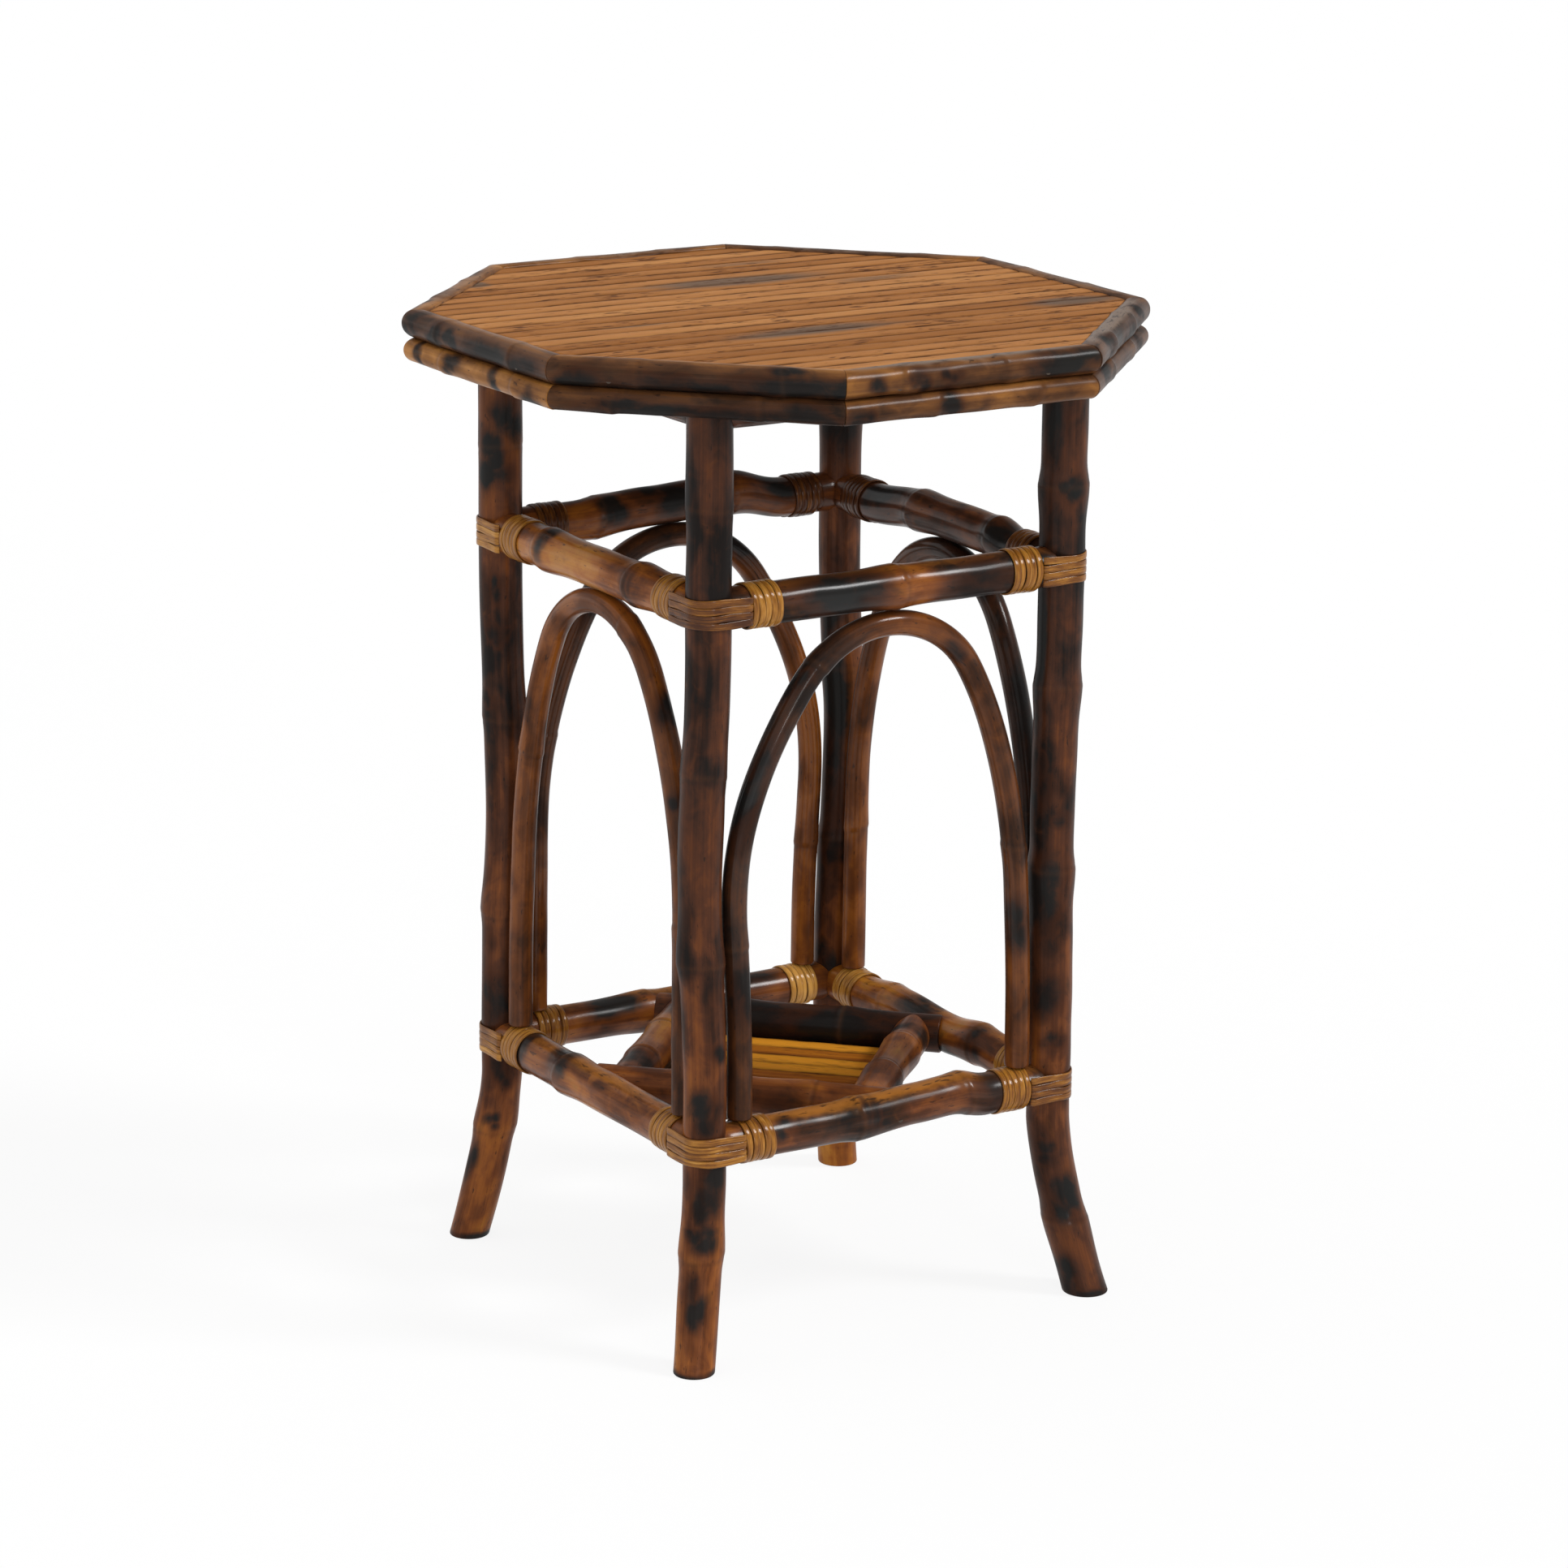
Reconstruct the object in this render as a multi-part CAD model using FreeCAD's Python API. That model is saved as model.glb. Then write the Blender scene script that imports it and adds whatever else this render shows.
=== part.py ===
import FreeCAD, Part
import math
import os

Vector = FreeCAD.Vector
UP = Vector(0, 0, 1)
CENTRE = Vector(0, 0, 0)

# A rattan side table in millimetres: the floor is at zero, the table stands centred on the Z axis,
# and its four sides face front (-Y), right (+X), back (+Y) and left (-X).

# Overall sizes
TABLE_HEIGHT = 660.0
TOP_ACROSS_FLATS = 456.0
TOP_OVERHANG = 94.5
UPPER_STRETCHER_HEIGHT = 497.0
LOWER_STRETCHER_HEIGHT = 145.0
FOOT_KICK = 17.0
KICK_SHARE = 0.84

# Canes
LEG_TOP_DIAMETER = 29.4
LEG_FOOT_DIAMETER = 27.2
STRETCHER_DIAMETER = 27.0
ARCH_DIAMETER = 16.4
RIM_DIAMETER = 19.0
UNDER_RIM_DIAMETER = 16.0
SHELF_RIM_DIAMETER = 26.0
KNUCKLE_SWELL = 0.12
RIM_SWELL = 0.08
KNUCKLE_REACH = 0.8
SKIN_SECTIONS = 8

# Top
SLAT_COUNT = 24
SLAT_THICKNESS = 5.0
SLAT_GAP = 0.4
RIM_STAND_UP = 3.0
RIM_FLAT_SHARE = 0.63
UNDER_RIM_SETBACK = 1.0
UNDER_RIM_FLAT = 1.0

# Arches
ARCH_GAP = 4.0
ARCH_SHOULDER = 32.45
ARCH_CURVED_SHARE = 0.6

# Shelf
SHELF_INSET = 18.95
SHELF_BOARD_THICKNESS = 6.0
SHELF_SLAT_COUNT = 8
SHELF_SLAT_THICKNESS = 4.0
SHELF_SEAT = 1.0
SHELF_BRAD_DROP = 2.0

# Cane bindings
BINDING_CANE = 3.6
BINDING_PITCH = 4.4
BINDING_TURNS = 5
BINDING_START = 7.0
STRIP_COUNT = 4
STRIP_WIDTH = 4.6
STRIP_THICKNESS = 2.0
STRIP_GAP = 0.4

# Fastenings
SCREW_DIAMETER = 4.0
SCREW_HEAD = 8.0
SCREW_LENGTH = 60.0
TOP_SCREW_DEPTH = 28.0
TOP_SCREW_OFFSET = 5.0
BRAD_DIAMETER = 1.8
BRAD_HEAD = 3.6

# Fits
JOINT_GAP = 0.2
GLUE_GAP = 0.1
HOLE_GAP = 0.1
REST_GAP = 0.3

# Natural shape: knuckles at shares of a leg's foot, middle and head, and of the other canes' lengths,
# how far the legs wander, and the lifts of bent stretchers
LEG_KNUCKLES = {
    "front_left": ((0.53,), (0.35, 0.70), (0.46,)),
    "front_right": ((0.35,), (0.42, 0.77), (0.37,)),
    "back_right": ((0.57,), (0.30, 0.64), (0.42,)),
    "back_left": ((0.57,), (0.26, 0.64), (0.42,)),
}
LEG_WANDER = {
    "front_left": (-1.9, 1.2),
    "front_right": (-1.6, 1.0),
    "back_right": (0.8, -0.5),
    "back_left": (2.2, -1.5),
}
UPPER_KNUCKLES = {"front": (0.51,), "right": (0.26, 0.61), "back": (0.33, 0.73), "left": (0.26, 0.70)}
LOWER_KNUCKLES = {"front": (0.42, 0.74), "right": (0.30, 0.71), "back": (0.58,), "left": (0.36,)}
RAIL_KNUCKLES = {"front": (0.45,), "right": (0.62,), "back": (0.38,), "left": (0.55,)}
UPPER_BENDS = {
    "front": (),
    "right": ((0.18, 0.0), (0.28, 4.0), (0.45, 5.0), (0.60, 5.0), (0.82, 0.0)),
    "back": ((0.18, 0.0), (0.33, 7.0), (0.57, 4.3), (0.80, 0.0)),
    "left": (),
}
LOWER_BENDS = {
    "front": ((0.44, 0.0), (0.60, 2.5), (0.72, 4.0), (0.81, 0.0)),
    "right": (),
    "back": (),
    "left": (),
}

SIDES = ("front", "right", "back", "left")
CORNERS = ("front_left", "front_right", "back_right", "back_left")
CORNER_SIGNS = ((-1, -1), (1, -1), (1, 1), (-1, 1))
EDGES = ("front", "front_right", "right", "back_right", "back", "back_left", "left", "front_left")

# Sizes that follow from those above
leg_half = TOP_ACROSS_FLATS / 2 - TOP_OVERHANG
leg_spacing = 2 * leg_half
stretcher_radius = STRETCHER_DIAMETER / 2
arch_radius = ARCH_DIAMETER / 2
shelf_rim_radius = SHELF_RIM_DIAMETER / 2
shelf_offset = (leg_half - SHELF_INSET) / math.sqrt(2)
rim_radius = RIM_DIAMETER / 2
under_radius = UNDER_RIM_DIAMETER / 2
rim_reach = rim_radius * (1 + RIM_SWELL)
under_reach = under_radius * (1 + RIM_SWELL)
rim_apothem = TOP_ACROSS_FLATS / 2 - rim_reach
rim_height = TABLE_HEIGHT - rim_reach
rim_flat = rim_radius * RIM_FLAT_SHARE
seat_height = TABLE_HEIGHT - 2 * rim_reach
under_apothem = TOP_ACROSS_FLATS / 2 - under_reach - UNDER_RIM_SETBACK
under_height = seat_height - GLUE_GAP - under_radius + UNDER_RIM_FLAT
slat_top = TABLE_HEIGHT - RIM_STAND_UP
board_top = slat_top - SLAT_THICKNESS
board_apothem = rim_apothem - rim_flat - GLUE_GAP
rail_height = seat_height - stretcher_radius * (1 + KNUCKLE_SWELL)
kick_start = LOWER_STRETCHER_HEIGHT * KICK_SHARE
leg_reach = KNUCKLE_REACH * LEG_TOP_DIAMETER / 2
half_corner = math.radians(22.5)


def turned(shape, angle):
    """A copy turned about the Z axis."""
    copy = shape.copy()
    copy.rotate(CENTRE, UP, angle)
    return copy


def prism(points, low, high):
    """An upright prism over points in plan."""
    corners = [Vector(x, y, low) for x, y in points]
    return Part.Face(Part.makePolygon(corners + corners[:1])).extrude(Vector(0, 0, high - low))


def octagon(apothem, low, high):
    """An upright octagonal prism whose flats face the four sides and the four corners."""
    reach = apothem / math.cos(half_corner)
    angles = [half_corner * (2 * turn + 1) for turn in range(8)]
    return prism([(reach * math.cos(a), reach * math.sin(a)) for a in angles], low, high)


def knuckle_swell(place, knuckles, reach):
    """How much of a knuckle's swelling a cane has at a place along it."""
    return sum(math.exp(-((place - knuckle) / reach) ** 2) for knuckle in knuckles)


def section_places(length, knuckles, reach):
    """Places along a cane where a section is drawn: evenly spaced ones and both sides of each knuckle."""
    count = math.ceil(length / (2 * reach))
    wanted = [(length * part / count, 1) for part in range(1, count)]
    for knuckle in knuckles:
        wanted += [(knuckle + step * reach, 0) for step in (-2, -1.4, -0.9, -0.45, 0, 0.45, 0.9, 1.4, 2)]
    places = [0.0]
    for place, even in sorted(wanted):
        crowded = even and min(abs(place - knuckle) for knuckle in [-length] + list(knuckles)) < 2.6 * reach
        if not crowded and place - places[-1] > reach / 3 and length - place > reach / 3:
            places.append(place)
    return places + [length]


def spline(points, places):
    """A smooth curve that reaches each point at its place."""
    curve = Part.BSplineCurve()
    curve.interpolate(Points=points, Parameters=places)
    return curve


def round_body(places, middles, sizes, axis, side):
    """A solid whose round sections change smoothly through the given middles and sizes."""
    line = spline(middles, places)
    width = spline([Vector(size, place, 0) for size, place in zip(sizes, places)], places)
    other = axis.cross(side)
    inset = math.sqrt(0.5)
    poles, weights = [], []
    for step in range(9):
        angle = math.radians(45 * step)
        weight = inset if step % 2 else 1.0
        spoke = (side * math.cos(angle) + other * math.sin(angle)) * (1 / weight)
        poles.append([middle + spoke * size.x for middle, size in zip(line.getPoles(), width.getPoles())])
        weights.append([weight] * len(poles[0]))
    surface = Part.BSplineSurface()
    surface.buildFromPolesMultsKnots(
        poles, [3, 2, 2, 2, 3], line.getMultiplicities(), [0, 0.25, 0.5, 0.75, 1], line.getKnots(),
        False, False, 2, line.Degree, weights)
    count = math.ceil(len(places) / SKIN_SECTIONS)
    cuts = [places[(len(places) - 1) * part // count] for part in range(count + 1)]
    skins = []
    for low, high in zip(cuts, cuts[1:]):
        patch = surface.copy()
        patch.segment(0, 1, low, high)
        skins.append(patch.toShape())
    rings = [edge for skin in skins for edge in skin.Edges if edge.isClosed()]
    caps = [Part.Face(Part.Wire(edge)) for edge in (rings[0], rings[-1])]
    shell = Part.Shell(skins + caps)
    shell.sewShape()
    return Part.Solid(shell)


def bend_lift(place, length, bends):
    """Lift of a bent cane: smooth runs between the lifts at shares of its length, and none at its ends."""
    stops = [(0.0, 0.0)] + [(share * length, lift) for share, lift in bends] + [(length, 0.0)]
    for (start, low), (end, high) in zip(stops, stops[1:]):
        if place <= end:
            run = (place - start) / (end - start)
            return low + (high - low) * (1 - math.cos(math.pi * run)) / 2
    return 0.0


def cane(start, length, radius, shares=(), swell=KNUCKLE_SWELL, bends=()):
    """A cane along +X from start, with knuckles at shares of its length."""
    along = Vector(1, 0, 0)
    reach = KNUCKLE_REACH * radius
    knuckles = [share * length for share in shares]
    places = section_places(length, knuckles, reach)
    middles = [start + along * place + UP * bend_lift(place, length, bends) for place in places]
    sizes = [radius * (1 + swell * knuckle_swell(place, knuckles, reach)) for place in places]
    return round_body(places, middles, sizes, along, Vector(0, math.sqrt(0.5), math.sqrt(0.5)))


def fastener(length, shank, head, grow=0.0):
    """A countersunk screw or brad along +X, its head's face at the origin; grow makes its open hole."""
    shank_radius = shank / 2 + grow
    head_radius = head / 2 + grow
    head_height = (head - shank) / 2
    tip = length - shank
    mouth = head if grow else 0.0
    outline = [
        Vector(-mouth, 0, 0),
        Vector(-mouth, head_radius, 0),
        Vector(0, head_radius, 0),
        Vector(head_height, shank_radius, 0),
        Vector(tip, shank_radius, 0),
        Vector(length + grow, shank_radius * 0.2, 0),
        Vector(length + grow, 0, 0),
    ]
    if not grow:
        outline.pop(1)
    return Part.Face(Part.makePolygon(outline + outline[:1])).revolve(CENTRE, Vector(1, 0, 0), 360)


def placed(shape, position, direction):
    """A copy of a shape made along +X, moved to a position and pointed in a direction."""
    copy = shape.copy()
    copy.Placement = FreeCAD.Placement(position, FreeCAD.Rotation(Vector(1, 0, 0), direction))
    return copy


def leg_radius(height):
    """Radius of a leg between its knuckles: a little thicker at the top."""
    share = height / seat_height
    return (LEG_FOOT_DIAMETER + (LEG_TOP_DIAMETER - LEG_FOOT_DIAMETER) * share) / 2


def leg_middle(height, corner):
    """Centre of a leg's section: the foot kicks outward, and the long middle wanders a little."""
    sign_x, sign_y = CORNER_SIGNS[CORNERS.index(corner)]
    kick = FOOT_KICK * max(1 - height / kick_start, 0.0) ** 1.4
    low = LOWER_STRETCHER_HEIGHT + STRETCHER_DIAMETER
    high = UPPER_STRETCHER_HEIGHT - STRETCHER_DIAMETER
    share = min(max((height - low) / (high - low), 0.0), 1.0)
    sway = math.sin(math.pi * share) ** 2
    wander_x, wander_y = LEG_WANDER[corner]
    reach = leg_half + kick
    return Vector(sign_x * reach + wander_x * sway, sign_y * reach + wander_y * sway, height)


def leg_knuckles(corner):
    """Heights of a leg's knuckles: shares of its foot, its middle and its head, which end at the joints."""
    joints = (0.0, LOWER_STRETCHER_HEIGHT, UPPER_STRETCHER_HEIGHT, seat_height)
    heights = []
    for low, high, shares in zip(joints, joints[1:], LEG_KNUCKLES[corner]):
        heights += [low + share * (high - low) for share in shares]
    return heights


def leg_girth(height, corner):
    """Radius of a leg with its knuckles."""
    swell = knuckle_swell(height, leg_knuckles(corner), leg_reach)
    return leg_radius(height) * (1 + KNUCKLE_SWELL * swell)


def leg(corner):
    """A leg: level round sections from the floor to the underside of the top board."""
    places = section_places(seat_height, leg_knuckles(corner), leg_reach)
    middles = [leg_middle(height, corner) for height in places]
    sizes = [leg_girth(height, corner) for height in places]
    return round_body(places, middles, sizes, UP, Vector(math.sqrt(0.5), math.sqrt(0.5), 0))


def between_legs(height, shares, bends, side):
    """A stretcher or rail on one side: coped to both legs and mitred clear of its neighbours."""
    spare = STRETCHER_DIAMETER
    inset = JOINT_GAP * 0.7
    bar = cane(Vector(-leg_half, -leg_half, height), leg_spacing, stretcher_radius, shares, bends=bends)
    plan = [
        (-leg_half + inset, -leg_half - spare),
        (-leg_half + inset, -leg_half),
        (-leg_half + inset + spare, -leg_half + spare),
        (leg_half - inset - spare, -leg_half + spare),
        (leg_half - inset, -leg_half),
        (leg_half - inset, -leg_half - spare),
    ]
    bar = bar.common(prism(plan, height - spare, height + spare))
    quarter = SIDES.index(side)
    for sign, corner in ((-1, CORNERS[quarter]), (1, CORNERS[quarter - 3])):
        foot = Vector(sign * leg_half, -leg_half, height - spare)
        levels = [height + step * stretcher_radius / 4 for step in range(-4, 5)]
        widest = max(leg_girth(level, corner) for level in levels)
        bar = bar.cut(Part.makeCylinder(widest + JOINT_GAP, 2 * spare, foot))
    return turned(bar, 90 * quarter)


def stretcher_body(height, shares, bends, side, grow):
    """A whole stretcher from leg to leg, used to cope what meets its middle."""
    start = Vector(-leg_half, -leg_half, height)
    body = cane(start, leg_spacing, stretcher_radius + grow, shares, bends=bends)
    return turned(body, 90 * SIDES.index(side))


def frame_screw(height, side, end, grow=0.0):
    """The screw that goes through a leg into one end of a stretcher or rail."""
    drop = 0.1 * stretcher_radius if side in ("front", "back") else 0.52 * stretcher_radius
    sink = leg_radius(height) * 0.93
    start = Vector(end * (leg_half + sink), -leg_half, height - drop)
    screw = placed(fastener(SCREW_LENGTH, SCREW_DIAMETER, SCREW_HEAD, grow), start, Vector(-end, 0, 0))
    return turned(screw, 90 * SIDES.index(side))


def top_screw(quarter, grow=0.0):
    """The screw that goes down through the top board into a leg."""
    place = -leg_half - TOP_SCREW_OFFSET
    length = board_top - seat_height + TOP_SCREW_DEPTH
    start = Vector(place, place, board_top - 0.2)
    screw = placed(fastener(length, SCREW_DIAMETER, SCREW_HEAD, grow), start, Vector(0, 0, -1))
    return turned(screw, 90 * quarter)


def slat(width, thickness, length, y, low):
    """A slat along X with a flat top and eased upper edges."""
    ease = thickness * 0.3
    near, far = y - width / 2, y + width / 2
    high = low + thickness
    slope = ease * (1 - math.sqrt(0.5))
    x = -length / 2
    points = [
        Vector(x, near, low),
        Vector(x, far, low),
        Vector(x, far, high - ease),
        Vector(x, far - slope, high - slope),
        Vector(x, far - ease, high),
        Vector(x, near + ease, high),
        Vector(x, near + slope, high - slope),
        Vector(x, near, high - ease),
    ]
    outline = [
        Part.makeLine(points[0], points[1]),
        Part.makeLine(points[1], points[2]),
        Part.Arc(points[2], points[3], points[4]).toShape(),
        Part.makeLine(points[4], points[5]),
        Part.Arc(points[5], points[6], points[7]).toShape(),
        Part.makeLine(points[7], points[0]),
    ]
    return Part.Face(Part.Wire(outline)).extrude(Vector(length, 0, 0))


def rim_room(inner, low, high):
    """The room a rim cane has on the front edge: its mitred share of the octagon outside an inner line."""
    near = Vector(0, -GLUE_GAP / math.sin(half_corner), 0)
    far = TOP_ACROSS_FLATS
    slope = math.tan(half_corner)
    points = []
    for depth, sign in ((inner, -1), (far, -1), (far, 1), (inner, 1)):
        points.append((sign * slope * (depth + near.y), -depth))
    return prism(points, low, high)


def rim_knuckles(edge):
    """Two knuckles for each rim cane, placed a little differently on each edge."""
    turn = EDGES.index(edge)
    return 0.24 + 0.05 * (turn % 3), 0.64 + 0.05 * (turn % 4)


def top_rim(edge):
    """A rim cane: round outside, flat where it is glued to the board's edge, mitred at both ends."""
    length = 2 * (rim_apothem + 2 * rim_reach) * math.tan(half_corner)
    start = Vector(-length / 2, -rim_apothem, rim_height)
    body = cane(start, length, rim_radius, rim_knuckles(edge), RIM_SWELL)
    room = rim_room(rim_apothem - rim_flat, seat_height - rim_reach, TABLE_HEIGHT + rim_reach)
    return turned(body.common(room), 45 * EDGES.index(edge))


def under_rim(edge):
    """The thinner cane under a rim cane, flat on top where it meets the board and the rim."""
    length = 2 * (under_apothem + 2 * under_reach) * math.tan(half_corner)
    shares = [1 - share for share in rim_knuckles(edge)]
    body = cane(Vector(-length / 2, -under_apothem, under_height), length, under_radius, shares, RIM_SWELL)
    room = rim_room(under_apothem - 2 * under_reach, seat_height - 4 * under_reach, seat_height - GLUE_GAP)
    return turned(body.common(room), 45 * EDGES.index(edge))


def rim_brad(edge, sign, grow=0.0):
    """A brad through a rim cane into the edge of the board."""
    height = (seat_height + board_top) / 2
    side = math.sqrt(rim_radius ** 2 - (rim_height - height) ** 2)
    start = Vector(sign * 0.12 * TOP_ACROSS_FLATS, -rim_apothem - side + 0.4, height)
    length = side + rim_flat + rim_radius * 1.6
    brad = placed(fastener(length, BRAD_DIAMETER, BRAD_HEAD, grow), start, Vector(0, 1, 0))
    return turned(brad, 45 * EDGES.index(edge))


def under_rim_brad(edge, sign, grow=0.0):
    """A brad up through an under rim cane into the rim cane above."""
    low = under_height - under_radius + 0.4
    start = Vector(sign * 0.08 * TOP_ACROSS_FLATS, -under_apothem, low)
    length = rim_height - low
    brad = placed(fastener(length, BRAD_DIAMETER, BRAD_HEAD, grow), start, UP)
    return turned(brad, 45 * EDGES.index(edge))


def arch_foot_place():
    """Distance of an arch's foot from the middle of its side."""
    return leg_half - leg_radius(LOWER_STRETCHER_HEIGHT) - arch_radius - ARCH_GAP


def crown_height(side):
    """Height of an arch's axis at its crown, just under the bent and knuckled stretcher above it."""
    outer = arch_foot_place() - ARCH_SHOULDER + arch_radius
    knuckles = [share * leg_spacing for share in UPPER_KNUCKLES[side]]
    lowest = UPPER_STRETCHER_HEIGHT
    for step in range(-30, 31):
        place = leg_half + step * outer / 60
        swell = knuckle_swell(place, knuckles, KNUCKLE_REACH * stretcher_radius)
        size = stretcher_radius * (1 + KNUCKLE_SWELL * swell)
        drop = outer - math.sqrt(outer ** 2 - (place - leg_half) ** 2)
        under = UPPER_STRETCHER_HEIGHT + bend_lift(place, leg_spacing, UPPER_BENDS[side]) - size
        lowest = min(lowest, under + drop)
    return lowest - arch_radius - REST_GAP


def arch(side):
    """A three-centred arch that stands on the lower bindings, its crown under the upper stretcher."""
    reach = arch_foot_place()
    foot = LOWER_STRETCHER_HEIGHT + stretcher_radius + JOINT_GAP + BINDING_CANE + REST_GAP
    crown = crown_height(side)
    rise = (crown - foot) * ARCH_CURVED_SHARE
    small = reach - ARCH_SHOULDER
    large = (reach ** 2 + rise ** 2 - 2 * rise * small) / (2 * (reach - small))
    spring = crown - rise
    lean = math.atan2(rise - small, large - reach)
    bend = (reach - large + large * math.cos(lean), spring + large * math.sin(lean))
    haunch = (reach - large + large * math.cos(lean / 2), spring + large * math.sin(lean / 2))

    def at(x, z):
        return Vector(x, -leg_half, z)

    path = Part.Wire([
        Part.makeLine(at(-reach, foot), at(-reach, spring)),
        Part.Arc(at(-reach, spring), at(-haunch[0], haunch[1]), at(-bend[0], bend[1])).toShape(),
        Part.Arc(at(-bend[0], bend[1]), at(0, crown), at(*bend)).toShape(),
        Part.Arc(at(*bend), at(*haunch), at(reach, spring)).toShape(),
        Part.makeLine(at(reach, spring), at(reach, foot)),
    ])
    section = Part.Wire(Part.makeCircle(arch_radius, at(-reach, foot), UP))
    return turned(path.makePipeShell([section], True, False), 90 * SIDES.index(side))


def crown_brad(side, grow=0.0):
    """The brad that goes up through an arch's crown into the stretcher."""
    crown = crown_height(side)
    start = Vector(0, -leg_half, crown - arch_radius + 0.4)
    length = 2 * arch_radius + stretcher_radius
    brad = placed(fastener(length, BRAD_DIAMETER, BRAD_HEAD, grow), start, UP)
    return turned(brad, 90 * SIDES.index(side))


def arc_along(start, heading, end):
    """The arc that leaves start along a heading and reaches end."""
    chord = end - start
    inward = chord - heading * chord.dot(heading)
    inward.normalize()
    radius = chord.dot(chord) / (2 * chord.dot(inward))
    middle = start + inward * radius
    halfway = (start + end) * 0.5 - middle
    halfway.normalize()
    return Part.Arc(start, middle + halfway * radius, end).toShape()


def biarc(start, heading, end, final):
    """Two arcs that meet smoothly, leaving start along one heading and reaching end along another."""
    chord = end - start
    both = heading + final
    square = 2 * (1 - heading.dot(final))
    linear = 2 * chord.dot(both)
    reach = (math.sqrt(linear ** 2 + 4 * square * chord.dot(chord)) - linear) / (2 * square)
    first = start + heading * reach
    second = end - final * reach
    middle = (first + second) * 0.5
    across = second - first
    across.normalize()
    return [arc_along(start, heading, middle), arc_along(middle, across, end)]


def coil_place(angle, radius):
    """A point of a coil round the X axis and its heading there."""
    climb = BINDING_PITCH / (2 * math.pi)
    point = Vector(climb * angle, radius * math.cos(angle), radius * math.sin(angle))
    heading = Vector(climb, -radius * math.sin(angle), radius * math.cos(angle))
    heading.normalize()
    return point, heading


def coil_radius():
    """Radius of a binding's centre line round a stretcher."""
    return stretcher_radius + JOINT_GAP + BINDING_CANE / 2


def binding_start(height):
    """Distance from a leg's axis to the first turn of a binding."""
    return leg_radius(height) + BINDING_START


def coil():
    """One unbroken binding cane round the X axis, its ends straight for one diameter."""
    radius = coil_radius()
    first = -math.pi / 3
    quarters = 4 * BINDING_TURNS
    path = []
    for quarter in range(quarters):
        start, heading = coil_place(first + quarter * math.pi / 2, radius)
        end, final = coil_place(first + (quarter + 1) * math.pi / 2, radius)
        if quarter == 0:
            tail = start - heading * BINDING_CANE
            section = Part.Wire(Part.makeCircle(BINDING_CANE / 2, tail, heading))
            path.append(Part.makeLine(tail, start))
        path += biarc(start, heading, end, final)
    path.append(Part.makeLine(end, end + final * BINDING_CANE))
    solid = Part.Wire(path).makePipeShell([section], True, False)
    slide = BINDING_CANE / 2 - coil_place(first, radius)[0].x
    solid.translate(Vector(slide, 0, 0))
    return solid


def coil_gap():
    """Least gap of a binding to itself, measured on points of its centre line over half a turn apart."""
    radius = coil_radius()
    points = [coil_place(2 * math.pi * step / 90, radius)[0] for step in range(90 * BINDING_TURNS + 1)]
    least = leg_spacing
    for step in range(0, len(points), 3):
        for other in range(step + 45, len(points)):
            least = min(least, (points[other] - points[step]).Length)
    return least - BINDING_CANE


def corner_strip(height, lift):
    """A flat strip laid round the outside of a front left leg, its ends against the bindings."""
    inner = leg_radius(height) + REST_GAP
    end = binding_start(height) - REST_GAP
    level = height + lift
    bend = inner * math.sqrt(0.5)

    def at(x, y):
        return Vector(x - leg_half, y - leg_half, level)

    path = Part.Wire([
        Part.makeLine(at(end, -inner), at(0, -inner)),
        Part.Arc(at(0, -inner), at(-bend, -bend), at(-inner, 0)).toShape(),
        Part.makeLine(at(-inner, 0), at(-inner, end)),
    ])
    half = STRIP_WIDTH / 2
    edge = STRIP_THICKNESS / 2
    start = at(end, -inner)
    out = Vector(0, -1, 0)
    inside_low = start - UP * half
    inside_high = start + UP * half
    outside_high = inside_high + out * edge
    outside_low = inside_low + out * edge
    section = Part.Wire([
        Part.makeLine(inside_low, inside_high),
        Part.makeLine(inside_high, outside_high),
        Part.Arc(outside_high, start + out * STRIP_THICKNESS, outside_low).toShape(),
        Part.makeLine(outside_low, inside_low),
    ])
    return path.makePipeShell([section], True, False)


def binding(height, corner):
    """A corner's bindings: strips round the leg, and a coil round each of the two stretchers."""
    wound = coil()
    wound.translate(Vector(binding_start(height) - leg_half, -leg_half, height))
    other = wound.mirror(Vector(-leg_half, -leg_half, 0), Vector(1, -1, 0))
    step = STRIP_WIDTH + STRIP_GAP
    pieces = [wound, other]
    for strip in range(STRIP_COUNT):
        pieces.append(corner_strip(height, step * (strip - (STRIP_COUNT - 1) / 2)))
    return [turned(piece, 90 * CORNERS.index(corner)) for piece in pieces]


def shelf_rim(corner):
    """A shelf rim cane facing a corner: two run through to the stretchers, two fit between those."""
    through = corner in ("front_left", "back_right")
    meet = leg_half * math.sqrt(2) - shelf_offset
    reach = meet - stretcher_radius * 0.55 if through else shelf_offset
    level = LOWER_STRETCHER_HEIGHT
    start = Vector(-reach, -shelf_offset, level)
    body = cane(start, 2 * reach, shelf_rim_radius, (0.34, 0.72), RIM_SWELL)
    wide = 2 * leg_half
    under = Vector(-wide, -wide, shelf_seat - shelf_rim_radius)
    seat = Part.makeBox(2 * wide, 2 * wide, shelf_rim_radius, under)
    body = body.cut(seat)
    if not through:
        for sign in (-1, 1):
            end = Vector(sign * shelf_offset, -wide, level)
            grown = shelf_rim_radius * (1 + RIM_SWELL) + JOINT_GAP
            body = body.cut(Part.makeCylinder(grown, 2 * wide, end, Vector(0, 1, 0)))
    body = turned(body, 90 * CORNERS.index(corner) - 45)
    for side in SIDES:
        body = body.cut(stretcher_body(level, LOWER_KNUCKLES[side], LOWER_BENDS[side], side, JOINT_GAP))
    return max(body.Solids, key=lambda solid: solid.Volume)


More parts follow.
